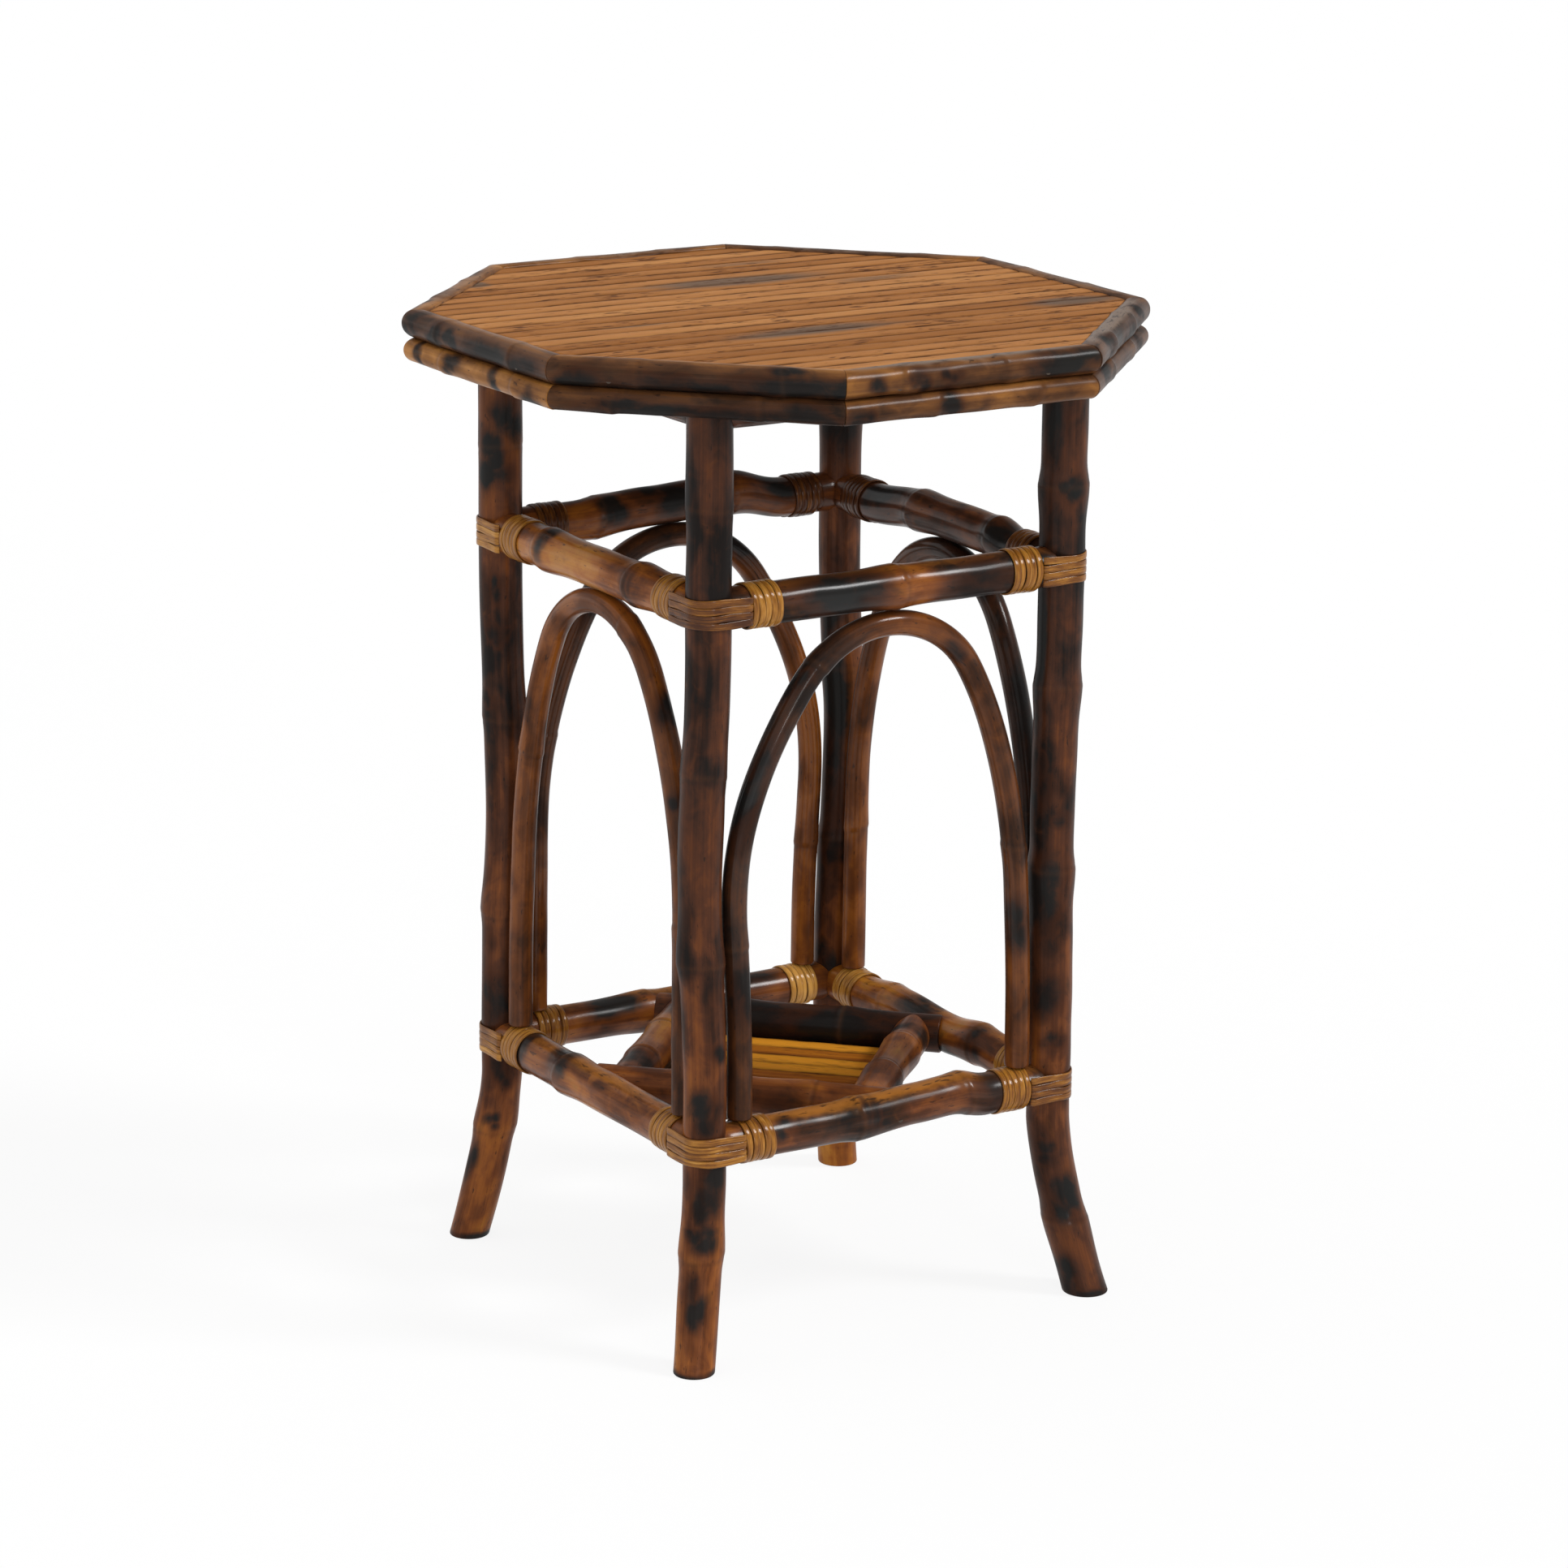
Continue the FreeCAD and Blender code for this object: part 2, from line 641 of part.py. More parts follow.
def shelf_brad(side, grow=0.0):
    """The brad that goes through a lower stretcher into the corner of the shelf's rim."""
    sign = 1 if side in ("front", "back") else -1
    outside = leg_half + stretcher_radius - 0.4
    start = Vector(sign * shelf_rim_radius * 0.6, -outside, LOWER_STRETCHER_HEIGHT - SHELF_BRAD_DROP)
    length = 2 * stretcher_radius + 2 * shelf_rim_radius + 6
    brad = placed(fastener(length, BRAD_DIAMETER, BRAD_HEAD, grow), start, Vector(0, 1, 0))
    return turned(brad, 90 * SIDES.index(side))


def shelf_board_brad(corner, sign, grow=0.0):
    """A brad up through the shelf board into a rim cane."""
    low = shelf_seat - GLUE_GAP - SHELF_BOARD_THICKNESS
    inset = shelf_offset - shelf_rim_radius * 0.35
    start = Vector(sign * shelf_offset * 0.45, -inset, low + 0.2)
    length = SHELF_BOARD_THICKNESS + shelf_rim_radius
    brad = placed(fastener(length, BRAD_DIAMETER, BRAD_HEAD, grow), start, UP)
    return turned(brad, 90 * CORNERS.index(corner) - 45)


shelf_seat = LOWER_STRETCHER_HEIGHT - shelf_rim_radius + SHELF_SEAT
ends = (-1, 1)
levels = {
    "upper_stretcher": UPPER_STRETCHER_HEIGHT,
    "lower_stretcher": LOWER_STRETCHER_HEIGHT,
    "top_rail": rail_height,
}
shares_of = {"upper_stretcher": UPPER_KNUCKLES, "lower_stretcher": LOWER_KNUCKLES, "top_rail": RAIL_KNUCKLES}
straight = {side: () for side in SIDES}
bends_of = {"upper_stretcher": UPPER_BENDS, "lower_stretcher": LOWER_BENDS, "top_rail": straight}
pieces = {}

# Legs, with holes for the screws through them and into their tops
for quarter, corner in enumerate(CORNERS):
    holes = [top_screw(quarter, HOLE_GAP)]
    for height in levels.values():
        holes.append(frame_screw(height, SIDES[quarter], -1, HOLE_GAP))
        holes.append(frame_screw(height, SIDES[quarter - 1], 1, HOLE_GAP))
    pieces["leg_" + corner] = [leg(corner).cut(holes)]

# Stretchers and top rails between the legs
for kind, height in levels.items():
    for side in SIDES:
        body = between_legs(height, shares_of[kind][side], bends_of[kind][side], side)
        holes = [frame_screw(height, side, end, HOLE_GAP) for end in ends]
        if kind == "upper_stretcher":
            holes.append(crown_brad(side, HOLE_GAP))
        if kind == "lower_stretcher":
            holes.append(shelf_brad(side, HOLE_GAP))
        pieces[kind + "_" + side] = [body.cut(holes)]

# Arches
for side in SIDES:
    pieces["arch_" + side] = [arch(side).cut(crown_brad(side, HOLE_GAP))]

# Top: board, slats and the two rings of rim canes
board_holes = [top_screw(quarter, HOLE_GAP) for quarter in range(4)]
board_holes += [rim_brad(edge, end, HOLE_GAP) for edge in EDGES for end in ends]
pieces["top_board"] = [octagon(board_apothem, seat_height, board_top).cut(board_holes)]
slat_pitch = 2 * board_apothem / SLAT_COUNT
outline = octagon(board_apothem, board_top - 1, TABLE_HEIGHT)
pieces["top_slats"] = []
for count in range(SLAT_COUNT):
    y = slat_pitch * (count - (SLAT_COUNT - 1) / 2)
    strip = slat(slat_pitch - SLAT_GAP, SLAT_THICKNESS, 2 * board_apothem, y, board_top)
    pieces["top_slats"].append(strip.common(outline))
for edge in EDGES:
    brads = [rim_brad(edge, end, HOLE_GAP) for end in ends]
    risers = [under_rim_brad(edge, end, HOLE_GAP) for end in ends]
    pieces["top_rim_" + edge] = [top_rim(edge).cut(brads + risers)]
    pieces["under_rim_" + edge] = [under_rim(edge).cut(risers)]

# Shelf: rim canes, board under them and slats between them
shelf_low = shelf_seat - GLUE_GAP - SHELF_BOARD_THICKNESS
shelf_brads = [shelf_brad(side, HOLE_GAP) for side in SIDES]
for corner in CORNERS:
    risers = [shelf_board_brad(corner, end, HOLE_GAP) for end in ends]
    pieces["shelf_rim_" + corner] = [shelf_rim(corner).cut(shelf_brads + risers)]
half = shelf_offset
square = [(-half, -half), (half, -half), (half, half), (-half, half)]
plate = prism(square, shelf_low, shelf_seat - GLUE_GAP)
risers = [shelf_board_brad(corner, end, HOLE_GAP) for corner in CORNERS for end in ends]
pieces["shelf_board"] = [turned(plate, 45).cut(risers)]
clear = half - shelf_rim_radius * (1 + RIM_SWELL) - REST_GAP
shelf_pitch = 2 * clear / SHELF_SLAT_COUNT
pieces["shelf_slats"] = []
for count in range(SHELF_SLAT_COUNT):
    y = shelf_pitch * (count - (SHELF_SLAT_COUNT - 1) / 2)
    strip = slat(shelf_pitch - SLAT_GAP, SHELF_SLAT_THICKNESS, 2 * clear, y, shelf_seat - GLUE_GAP)
    pieces["shelf_slats"].append(turned(strip, -45))

# Bindings at the eight joints
for corner in CORNERS:
    pieces["upper_binding_" + corner] = binding(UPPER_STRETCHER_HEIGHT, corner)
    pieces["lower_binding_" + corner] = binding(LOWER_STRETCHER_HEIGHT, corner)

# Fastenings
pieces["top_screws"] = [top_screw(quarter) for quarter in range(4)]
pieces["frame_screws"] = []
for height in levels.values():
    pieces["frame_screws"] += [frame_screw(height, side, end) for side in SIDES for end in ends]
pieces["crown_brads"] = [crown_brad(side) for side in SIDES]
pieces["rim_brads"] = [rim_brad(edge, end) for edge in EDGES for end in ends]
pieces["under_rim_brads"] = [under_rim_brad(edge, end) for edge in EDGES for end in ends]
pieces["shelf_brads"] = [shelf_brad(side) for side in SIDES]
pieces["shelf_board_brads"] = [shelf_board_brad(corner, end) for corner in CORNERS for end in ends]

os.makedirs("parts", exist_ok=True)
for name, solids in pieces.items():
    whole = [solid for shape in solids for solid in shape.Solids]
    shape = whole[0] if len(whole) == 1 else Part.makeCompound(whole)
    shape.exportStep("parts/" + name + ".step")
    sound = all(solid.isValid() for solid in whole)
    print(name, len(whole), "solids", round(shape.Volume / 1000, 2), "cm3", "" if sound else "NOT VALID")
print(len(pieces), "nodes; least gap of a binding to itself", round(coil_gap(), 3), "mm")
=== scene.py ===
import math
import bpy
import numpy as np
from mathutils import Matrix


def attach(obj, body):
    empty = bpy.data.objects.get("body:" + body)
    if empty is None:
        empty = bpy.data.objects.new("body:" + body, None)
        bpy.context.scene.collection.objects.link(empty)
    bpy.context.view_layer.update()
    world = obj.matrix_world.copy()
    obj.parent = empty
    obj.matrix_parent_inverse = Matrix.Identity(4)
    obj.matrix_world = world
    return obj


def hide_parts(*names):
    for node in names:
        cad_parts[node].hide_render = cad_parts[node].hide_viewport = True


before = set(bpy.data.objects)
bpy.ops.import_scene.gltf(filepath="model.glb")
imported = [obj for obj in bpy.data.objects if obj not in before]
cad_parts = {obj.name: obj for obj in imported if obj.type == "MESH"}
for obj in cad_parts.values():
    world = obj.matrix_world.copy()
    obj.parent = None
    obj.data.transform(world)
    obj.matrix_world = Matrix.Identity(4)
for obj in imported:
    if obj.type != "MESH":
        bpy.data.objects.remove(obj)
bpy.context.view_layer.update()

# The legs are four thick rattan poles that stand from the floor to the underside of the top board.
# Each was scorched in patches with a torch and then lacquered. The swollen knuckles are the cane's own,
# and the foot was steamed and bent so that it kicks outwards.
CORNERS = ("front_left", "front_right", "back_right", "back_left")
SIDES = ("front", "right", "back", "left")
RIGHTWARD, INWARD, UPWARD = (1.0, 0.0, 0.0), (0.0, 1.0, 0.0), (0.0, 0.0, 1.0)
LEG_HALF = 0.1335
LEG_LENGTH = 0.63948
LEG_FOOT_RADIUS = 0.0136
LEG_TOP_RADIUS = 0.0147
LEG_SWELL = 0.12
LEG_SIDES = 64
LEG_SEED = 11
KICK_START = 0.1218
FLARE_START = 0.09
WANDER_START = 0.173
WANDER_END = 0.469
LEG_SIGNS = {"front_left": (-1, -1), "front_right": (1, -1), "back_right": (1, 1), "back_left": (-1, 1)}
FOOT_KICK = {"front_left": 0.017, "front_right": 0.0203, "back_right": 0.017, "back_left": 0.017}
# How much stouter each pole is than the middling one, all along it and at its foot
LEG_STOUTNESS = {
    "front_left": (0.0, 0.0), "front_right": (0.035, 0.1),
    "back_right": (0.0, 0.02), "back_left": (0.0, 0.02),
}
LEG_KNUCKLES = {
    "front_left": (0.0769, 0.2682, 0.3914, 0.5625),
    "front_right": (0.0508, 0.2928, 0.416, 0.5497),
    "back_right": (0.0827, 0.2506, 0.3703, 0.5568),
    "back_left": (0.0827, 0.2365, 0.3703, 0.5568),
}
# How bold each knuckle is, from the foot up
KNUCKLE_BOLDNESS = {
    "front_left": (0.9, 0.9, 0.5, 0.3),
    "front_right": (0.8, 0.8, 0.8, 0.9),
    "back_right": (0.7, 0.6, 0.6, 0.5),
    "back_left": (0.9, 0.8, 0.5, 0.15),
}
# How far the long middle of each leg bows to the right and to the back
LEG_WANDER = {
    "front_left": (-0.0036, 0.0023),
    "front_right": (-0.0016, 0.001),
    "back_right": (0.0042, -0.0026),
    "back_left": (0.0028, -0.002),
}
# Warmth of the colour at shares of each leg's height, from smoked brown at 0 to honey at 1
LEG_WARMTH = {
    "front_left": (
        (0, 0.62), (0.2, 0.48), (0.3, 0.46), (0.45, 0.23), (0.6, 0.12), (0.68, 0.22), (0.75, 0.2),
        (1, 0.15),
    ),
    "front_right": (
        (0, 0.25), (0.15, 0.28), (0.25, 0.56), (0.4, 0.34), (0.6, 0.24), (0.78, 0.06), (0.9, 0.24),
        (1, 0.15),
    ),
    "back_right": ((0, 0.98), (0.15, 0.6), (0.4, 0.42), (0.6, 0.4), (0.8, 0.36), (1, 0.36)),
    "back_left": ((0, 0.6), (0.12, 0.6), (0.3, 0.4), (0.5, 0.42), (0.65, 0.2), (0.75, 0.36), (1, 0.4)),
}
# Burnt patches: height, angle in degrees round the leg from +X to +Y, half height, half width in degrees
LEG_BURNS = {
    "front_left": (
        (0.117, 248, 0.017, 45), (0.089, 228, 0.007, 35), (0.05, 233, 0.015, 34), (0.002, 240, 0.003, 170),
        (0.212, 285, 0.006, 22), (0.17, 250, 0.012, 40), (0.52, 60, 0.02, 60), (0.34, 40, 0.03, 50),
        (0.24, 90, 0.02, 40), (0.57, 20, 0.016, 40), (0.08, 60, 0.02, 50),
    ),
    "front_right": (
        (0.549, 255, 0.008, 26), (0.332, 270, 0.006, 30), (0.28, 205, 0.022, 45), (0.202, 225, 0.017, 60),
        (0.176, 245, 0.006, 30), (0.099, 215, 0.008, 35), (0.068, 245, 0.012, 45), (0.012, 190, 0.012, 45),
        (0.6, 190, 0.05, 34), (0.45, 180, 0.08, 26), (0.36, 190, 0.02, 26), (0.3, 20, 0.03, 60),
        (0.54, 60, 0.03, 60), (0.14, 80, 0.02, 60), (0.001, 240, 0.003, 170),
    ),
    "back_right": (
        (0.34, 205, 0.06, 38), (0.42, 210, 0.02, 45), (0.24, 240, 0.014, 40), (0.55, 230, 0.03, 60),
        (0.16, 230, 0.02, 50), (0.3, 30, 0.03, 60), (0.46, 80, 0.03, 70), (0.1, 60, 0.02, 60),
    ),
    "back_left": (
        (0.578, 248, 0.012, 50), (0.555, 223, 0.01, 30), (0.541, 223, 0.009, 40), (0.461, 228, 0.008, 13),
        (0.429, 236, 0.009, 32), (0.384, 183, 0.007, 18), (0.174, 228, 0.02, 60), (0.123, 238, 0.01, 30),
        (0.088, 223, 0.007, 24), (0.055, 176, 0.014, 20), (0.5, 60, 0.03, 60), (0.32, 20, 0.025, 50),
        (0.22, 90, 0.02, 60), (0.06, 50, 0.016, 50), (0.001, 240, 0.003, 170),
    ),
}


def turn(points, degrees):
    """Points turned about the upright axis: x' = x cos - y sin, y' = x sin + y cos."""
    sine, cosine = math.sin(math.radians(degrees)), math.cos(math.radians(degrees))
    return points @ np.array([[cosine, sine, 0.0], [-sine, cosine, 0.0], [0.0, 0.0, 1.0]])


def spokes(count):
    """Even angles round a circle."""
    return np.linspace(0.0, 2 * np.pi, count, endpoint=False)


def cane_places(length, knuckles, step=0.003, ease=0.0012):
    """Places along a cane: even steps, close ones across each knuckle, and a few over each rounded end."""
    near = 0.008
    even = [np.linspace(0.0, length, int(length / step) + 1)]
    close = [knuckle + np.linspace(-near, near, 21) for knuckle in knuckles]
    rounded = ease * np.array([0.0, 0.15, 0.4, 0.7, 1.0])
    places = np.concatenate(even + close + [rounded, length - rounded])
    return np.unique(np.round(np.clip(places, 0.0, length), 4))


def cane_girth(places, sides, radius, knuckles, bold, seed, uneven=0.012, ring=1.0, ease=0.0012):
    """Radius of a cane over the place along it and the angle round it, and its ridges and grooves.

    It is the radius times one plus a bell at each knuckle, which rises slowly on one side and falls steeply
    on the other, plus a slow unevenness of sine waves along and round. A thin ridge and a groove follow a
    tilted ring at each knuckle, as strong as ring says, and a quarter circle rounds each end.
    """
    chance = np.random.default_rng(seed)
    ridge_place, groove_place, ring_width = 0.0003, 0.0036, 0.0018
    ridge_height, groove_depth = 0.00016, 0.0003
    angles = spokes(sides)
    along, around = np.meshgrid(places, angles, indexing="ij")
    girth = np.broadcast_to(np.reshape(radius, (-1, 1)), along.shape)
    reach = 0.8 * float(np.mean(radius))
    steep = chance.choice((-1, 1))
    bell, ridge, groove = np.zeros_like(along), np.zeros_like(along), np.zeros_like(along)
    for knuckle, height in zip(knuckles, np.broadcast_to(bold, len(knuckles))):
        tilt = chance.uniform(0.0006, 0.002) * np.cos(around - chance.uniform(0, 2 * np.pi))
        gap = steep * (along - knuckle) - tilt
        bell += height * np.exp(-(gap / (reach * np.where(gap > 0, 0.7, 1.5))) ** 2)
        ridge += ring * np.exp(-((gap - ridge_place) / ring_width) ** 2)
        groove += ring * np.exp(-((gap - groove_place) / ring_width) ** 2)
    slow = np.zeros_like(along)
    for wave in range(6):
        run = np.sin(2 * np.pi * along / chance.uniform(0.035, 0.15) + chance.uniform(0, 2 * np.pi))
        slow += run * np.cos((wave % 3) * around + chance.uniform(0, 2 * np.pi))
    girth = girth * (1 + bell + uneven * slow / 1.7) + ridge_height * ridge - groove_depth * groove
    edge = np.clip(1 - np.minimum(along, places[-1] - along) / ease, 0.0, 1.0)
    girth = girth - ease * (1 - np.sqrt(1 - edge ** 2))
    return girth, {"ridge": ridge, "groove": groove}


def closed_skin(rings, fields, first=0):
    """A closed skin over rings of points: quads from ring to ring, and a fan to a middle point at each end.

    Gives the points, the faces counted from a first index, and the fields with the two middle points added.
    """
    count, around = rings.shape[:2]
    index = first + np.arange(count * around).reshape(count, around)
    beside = np.roll(index, -1, axis=1)
    quads = np.stack([index[:-1], beside[:-1], beside[1:], index[1:]], axis=-1).reshape(-1, 4)
    low = np.full(around, first + count * around)
    start = np.stack([low, beside[0], index[0]], axis=-1)
    end = np.stack([low + 1, index[-1], beside[-1]], axis=-1)
    points = np.concatenate([rings.reshape(-1, 3), rings[[0, -1]].mean(axis=1)])
    joined = {}
    for name, values in fields.items():
        flat = values.reshape(count * around, -1)
        ends = values[[0, -1]].reshape(2, around, -1).mean(axis=1)
        joined[name] = np.concatenate([flat, ends]).squeeze()
    return points, quads.tolist() + start.tolist() + end.tolist(), joined


def lay(skins, name, node, finish, degrees=0):
    """Makes closed skins, each of rings and their fields, into one piece that stands for its CAD node.

    The piece is turned about the upright axis, carries its fields as point attributes, gets its finish and is
    fixed to the table.
    """
    points, faces, fields = [], [], {}
    count = 0
    for rings, own in skins:
        skin, skin_faces, skin_fields = closed_skin(rings, own, count)
        points.append(skin)
        faces += skin_faces
        count += len(skin)
        for field, values in skin_fields.items():
            fields.setdefault(field, []).append(values)
    mesh = bpy.data.meshes.new(name)
    mesh.from_pydata(turn(np.concatenate(points), degrees).tolist(), [], faces)
    mesh.polygons.foreach_set("use_smooth", np.ones(len(mesh.polygons), dtype=bool))
    for field, values in fields.items():
        kind, key = ("FLOAT_VECTOR", "vector") if field == "grain" else ("FLOAT", "value")
        attribute = mesh.attributes.new(field, kind, "POINT")
        attribute.data.foreach_set(key, np.concatenate(values).astype(np.float32).ravel())
    mesh.update()
    mesh.materials.append(finish)
    piece = bpy.data.objects.new(name, mesh)
    bpy.context.scene.collection.objects.link(piece)
    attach(piece, "root")
    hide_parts(node)


def burn_field(places, sides, burns):
    """How burnt each point is: the greatest of soft ovals, a ragged cluster of them for each burn.

    A burn is its place, angle, half length and half width. Its ovals are scattered over it by chance.
    """
    angles = np.linspace(0.0, 360.0, sides, endpoint=False)
    along, around = np.meshgrid(places, angles, indexing="ij")
    burnt = np.zeros_like(along)
    for place, angle, long, wide in burns:
        chance = np.random.default_rng(int(1e5 * place + angle))
        for lobe in range(5):
            aside = (around - angle - 0.7 * wide * chance.uniform(-1, 1) + 180.0) % 360.0 - 180.0
            off = along - place - 0.7 * long * chance.uniform(-1, 1)
            size = chance.uniform(0.5, 0.95)
            soft = np.exp(-0.7 * (off / (size * long)) ** 2 - 0.7 * (aside / (size * wide)) ** 2)
            burnt = np.maximum(burnt, chance.uniform(0.65, 1.0) * soft)
    return burnt


def cane_fields(places, girth, warmth, burns, seed, per=1.0, wear_dust_and_sheen_bell=(90.0, 0.0)):
    """What a cane's finish reads: a point along and across it for its grain, its warmth, burns and wear,
    which on the rims' tops is grey dust with painted sheen.

    The burns' places are counted in lengths of per. Wear is a bell round an angle, with a strength, and fades
    out towards both ends.
    """
    wear_spread = 36.0
    angles = spokes(girth.shape[1])
    along = np.broadcast_to(places[:, None] + 1.37 * seed, girth.shape)
    grain = np.stack([along, girth * np.cos(angles), girth * np.sin(angles)], axis=-1)
    shares, levels = np.array(warmth, dtype=float).T
    warm = np.broadcast_to(np.interp(places / places[-1], shares, levels)[:, None], girth.shape)
    burnt = burn_field(places, girth.shape[1], [(at * per, *size) for at, *size in burns])
    apart = (np.degrees(angles) - wear_dust_and_sheen_bell[0] + 180.0) % 360.0 - 180.0
    middle = np.sin(np.pi * places / places[-1]) ** 0.5
    worn = wear_dust_and_sheen_bell[1] * middle[:, None] * np.exp(-(apart / wear_spread) ** 2)[None, :]
    return {"grain": grain, "warmth": warm, "burnt": burnt, "worn": worn}


def round_rings(middles, across, over, girth):
    """Rings of points round a line of middles: middle + girth x (cosine x across + sine x over)."""
    angles = spokes(girth.shape[1])[None, :, None]
    across, over = [np.atleast_2d(way)[:, None, :] for way in (across, over)]
    return middles[:, None, :] + girth[..., None] * (np.cos(angles) * across + np.sin(angles) * over)


class Wire:
    """An output socket of a finish. Arithmetic with numbers or other wires adds Math nodes."""

    def __init__(self, finish, socket):
        self.finish = finish
        self.socket = socket

    def math(self, operation, first, second):
        return self.finish.node("ShaderNodeMath", {"operation": operation}, {0: first, 1: second})

    def __add__(self, other):
        return self.math("ADD", self, other)

    def __sub__(self, other):
        return self.math("SUBTRACT", self, other)

    def __rsub__(self, other):
        return self.math("SUBTRACT", other, self)

    def __mul__(self, other):
        return self.math("MULTIPLY", self, other)

    __radd__ = __add__
    __rmul__ = __mul__


class Finish:
    """The nodes of one material or of the surround, the wires between them and the principled shader."""

    def __init__(self, owner):
        owner.use_nodes = True
        self.owner = owner
        self.tree = owner.node_tree
        self.shader = self.tree.nodes.get("Principled BSDF")

    def join(self, socket, value):
        """Links a wire to a socket, or sets the socket to a plain value."""
        if isinstance(value, Wire):
            self.tree.links.new(value.socket, socket)
        else:
            socket.default_value = value

    def node(self, kind, settings, sockets, out=0):
        """Any node: its type, its settings, which are set first, and the values or wires of its sockets."""
        node = self.tree.nodes.new(kind)
        for name, value in settings.items():
            if name == "stops":
                ramp = node.color_ramp.elements
                for place, colour in value[2:]:
                    ramp.new(place)
                for element, (place, colour) in zip(ramp, sorted(value)):
                    element.position = place
                    element.color = (*colour, 1.0)
            else:
                setattr(node, name, value)
        for name, value in sockets.items():
            self.join(node.inputs[name], value)
        return Wire(self, node.outputs[out])

    def field(self, name):
        """A number that the piece's points carry."""
        return self.node("ShaderNodeAttribute", {"attribute_name": name}, {}, "Fac")

    def grain(self):
        """The place along and across the grain that the piece's points carry."""
        return self.node("ShaderNodeAttribute", {"attribute_name": "grain"}, {}, "Vector")

    def noise(self, place, stretch, detail=2.0, rough=0.5, twist=0.0):
        """Noise about one half, its place stretched by a factor each way in units to the metre."""
        scaled = self.node("ShaderNodeVectorMath", {"operation": "MULTIPLY"}, {0: place, 1: stretch})
        settings = {"Vector": scaled, "Scale": 1.0, "Detail": detail, "Roughness": rough, "Distortion": twist}
        return self.node("ShaderNodeTexNoise", {}, settings, "Fac")

    def step(self, value, low, high):
        """A smooth step from 0 at the low value to 1 at the high one."""
        sockets = {"Value": value, "From Min": low, "From Max": high}
        return self.node("ShaderNodeMapRange", {"interpolation_type": "SMOOTHSTEP"}, sockets)

    def ramp(self, value, stops):
        """A colour that runs through the stops."""
        return self.node("ShaderNodeValToRGB", {"stops": stops}, {"Fac": value})

    def blend(self, share, first, second):
        """The first colour, with a share of the second."""
        colours = [(*colour, 1.0) if isinstance(colour, tuple) else colour for colour in (first, second)]
        return self.node("ShaderNodeMix", {"data_type": "RGBA"}, {0: share, 6: colours[0], 7: colours[1]}, 2)

    def bump(self, height, depth):
        """A bump of the given depth in metres where the height goes from 0 to 1."""
        bump = self.node("ShaderNodeBump", {}, {"Strength": 1.0, "Distance": depth, "Height": height})
        self.join(self.shader.inputs["Normal"], bump)

    def lacquer(self, colour, rough, gloss, coat, coat_rough):
        """Sets the shader: colour, roughness and lacquer over the surface, and one level of gloss."""
        self.join(self.shader.inputs["Base Color"], colour)
        self.join(self.shader.inputs["Roughness"], rough)
        self.shader.inputs["Specular IOR Level"].default_value = gloss
        self.join(self.shader.inputs["Coat Weight"], coat)
        self.shader.inputs["Coat Roughness"].default_value = coat_rough
        return self.owner


def scorched_cane(name, stops, mottle, coat, coat_rough, wear_dust_and_sheen_colour=(0.34, 0.125, 0.02)):
    """Torched and lacquered cane.

    Warmth, soft clouds and long streaks pick a colour between smoked brown and honey. Burns are near black,
    with a red-brown edge, where the burnt field and two noises pass a level. Worn places take the worn
    colour, which on the rims' tops is grey dust with painted sheen, and are nicked, and the lacquer is
    thicker in some patches than in others.
    """
    finish = Finish(bpy.data.materials.new(name))
    grain = finish.grain()
    cloud = finish.noise(grain, (17.0, 42.0, 42.0), 2.0, 0.5, 0.4)
    blotch = finish.noise(grain, (60.0, 95.0, 95.0), 3.0, 0.55, 0.6)
    streak = finish.noise(grain, (6.0, 260.0, 260.0), 3.0, 0.55)
    fibre = finish.noise(grain, (14.0, 900.0, 900.0), 3.0, 0.6)
    fleck = finish.noise(grain, (110.0, 420.0, 420.0), 2.0, 0.55)
    soft = finish.step(cloud, 0.25, 0.75)
    tone = finish.field("warmth") + mottle * (soft - 0.5) + 0.55 * (blotch - 0.5)
    tone = tone + 0.4 * (streak - 0.5) + 0.2 * (fibre - 0.5)
    colour = finish.ramp(tone, stops)
    # On the rims the worn colour is grey dust with painted sheen
    worn = finish.field("worn")
    colour = finish.blend(finish.step(worn + 0.8 * (blotch - 0.5), 0.08, 0.78), colour, wear_dust_and_sheen_colour)
    heat = finish.field("burnt") + 1.0 * (blotch - 0.5) + 0.9 * (cloud - 0.5)
    halo = finish.step(heat, 0.1, 0.55)
    burnt = finish.step(heat, 0.32, 0.9)
    char = finish.blend(soft, (0.0105, 0.007, 0.006), (0.0065, 0.0085, 0.0085))
    colour = finish.blend(0.65 * halo, colour, (0.05, 0.015, 0.0055))
    colour = finish.blend(0.96 * burnt, colour, char)
    nick = finish.step(fleck + 0.12 * worn, 0.66, 0.74)
    colour = finish.blend(0.7 * nick, colour, (0.014, 0.008, 0.0055))
    colour = finish.blend(0.4 * finish.field("groove"), colour, (0.016, 0.008, 0.0055))
    colour = finish.blend(0.15 * finish.field("ridge"), colour, (0.17, 0.066, 0.022))
    rough = 0.42 + 0.2 * (fibre - 0.5) + 0.14 * burnt
    finish.bump(0.5 * fibre + 0.6 * blotch + 0.3 * fleck, 0.00016)
    patchy = coat * (0.3 + 0.9 * finish.step(cloud + 0.5 * (streak - 0.5), 0.36, 0.6))
    return finish.lacquer(colour, rough, 0.06, patchy, coat_rough)


burnt_rattan = scorched_cane(
    "burnt_rattan",
    ((0.0, (0.011, 0.008, 0.007)), (1.0, (0.42, 0.165, 0.022)), (0.2, (0.036, 0.0138, 0.0075)),
     (0.4, (0.078, 0.0245, 0.0095)), (0.6, (0.165, 0.049, 0.0125)), (0.8, (0.29, 0.092, 0.0155))),
    0.5, 0.14, 0.2)

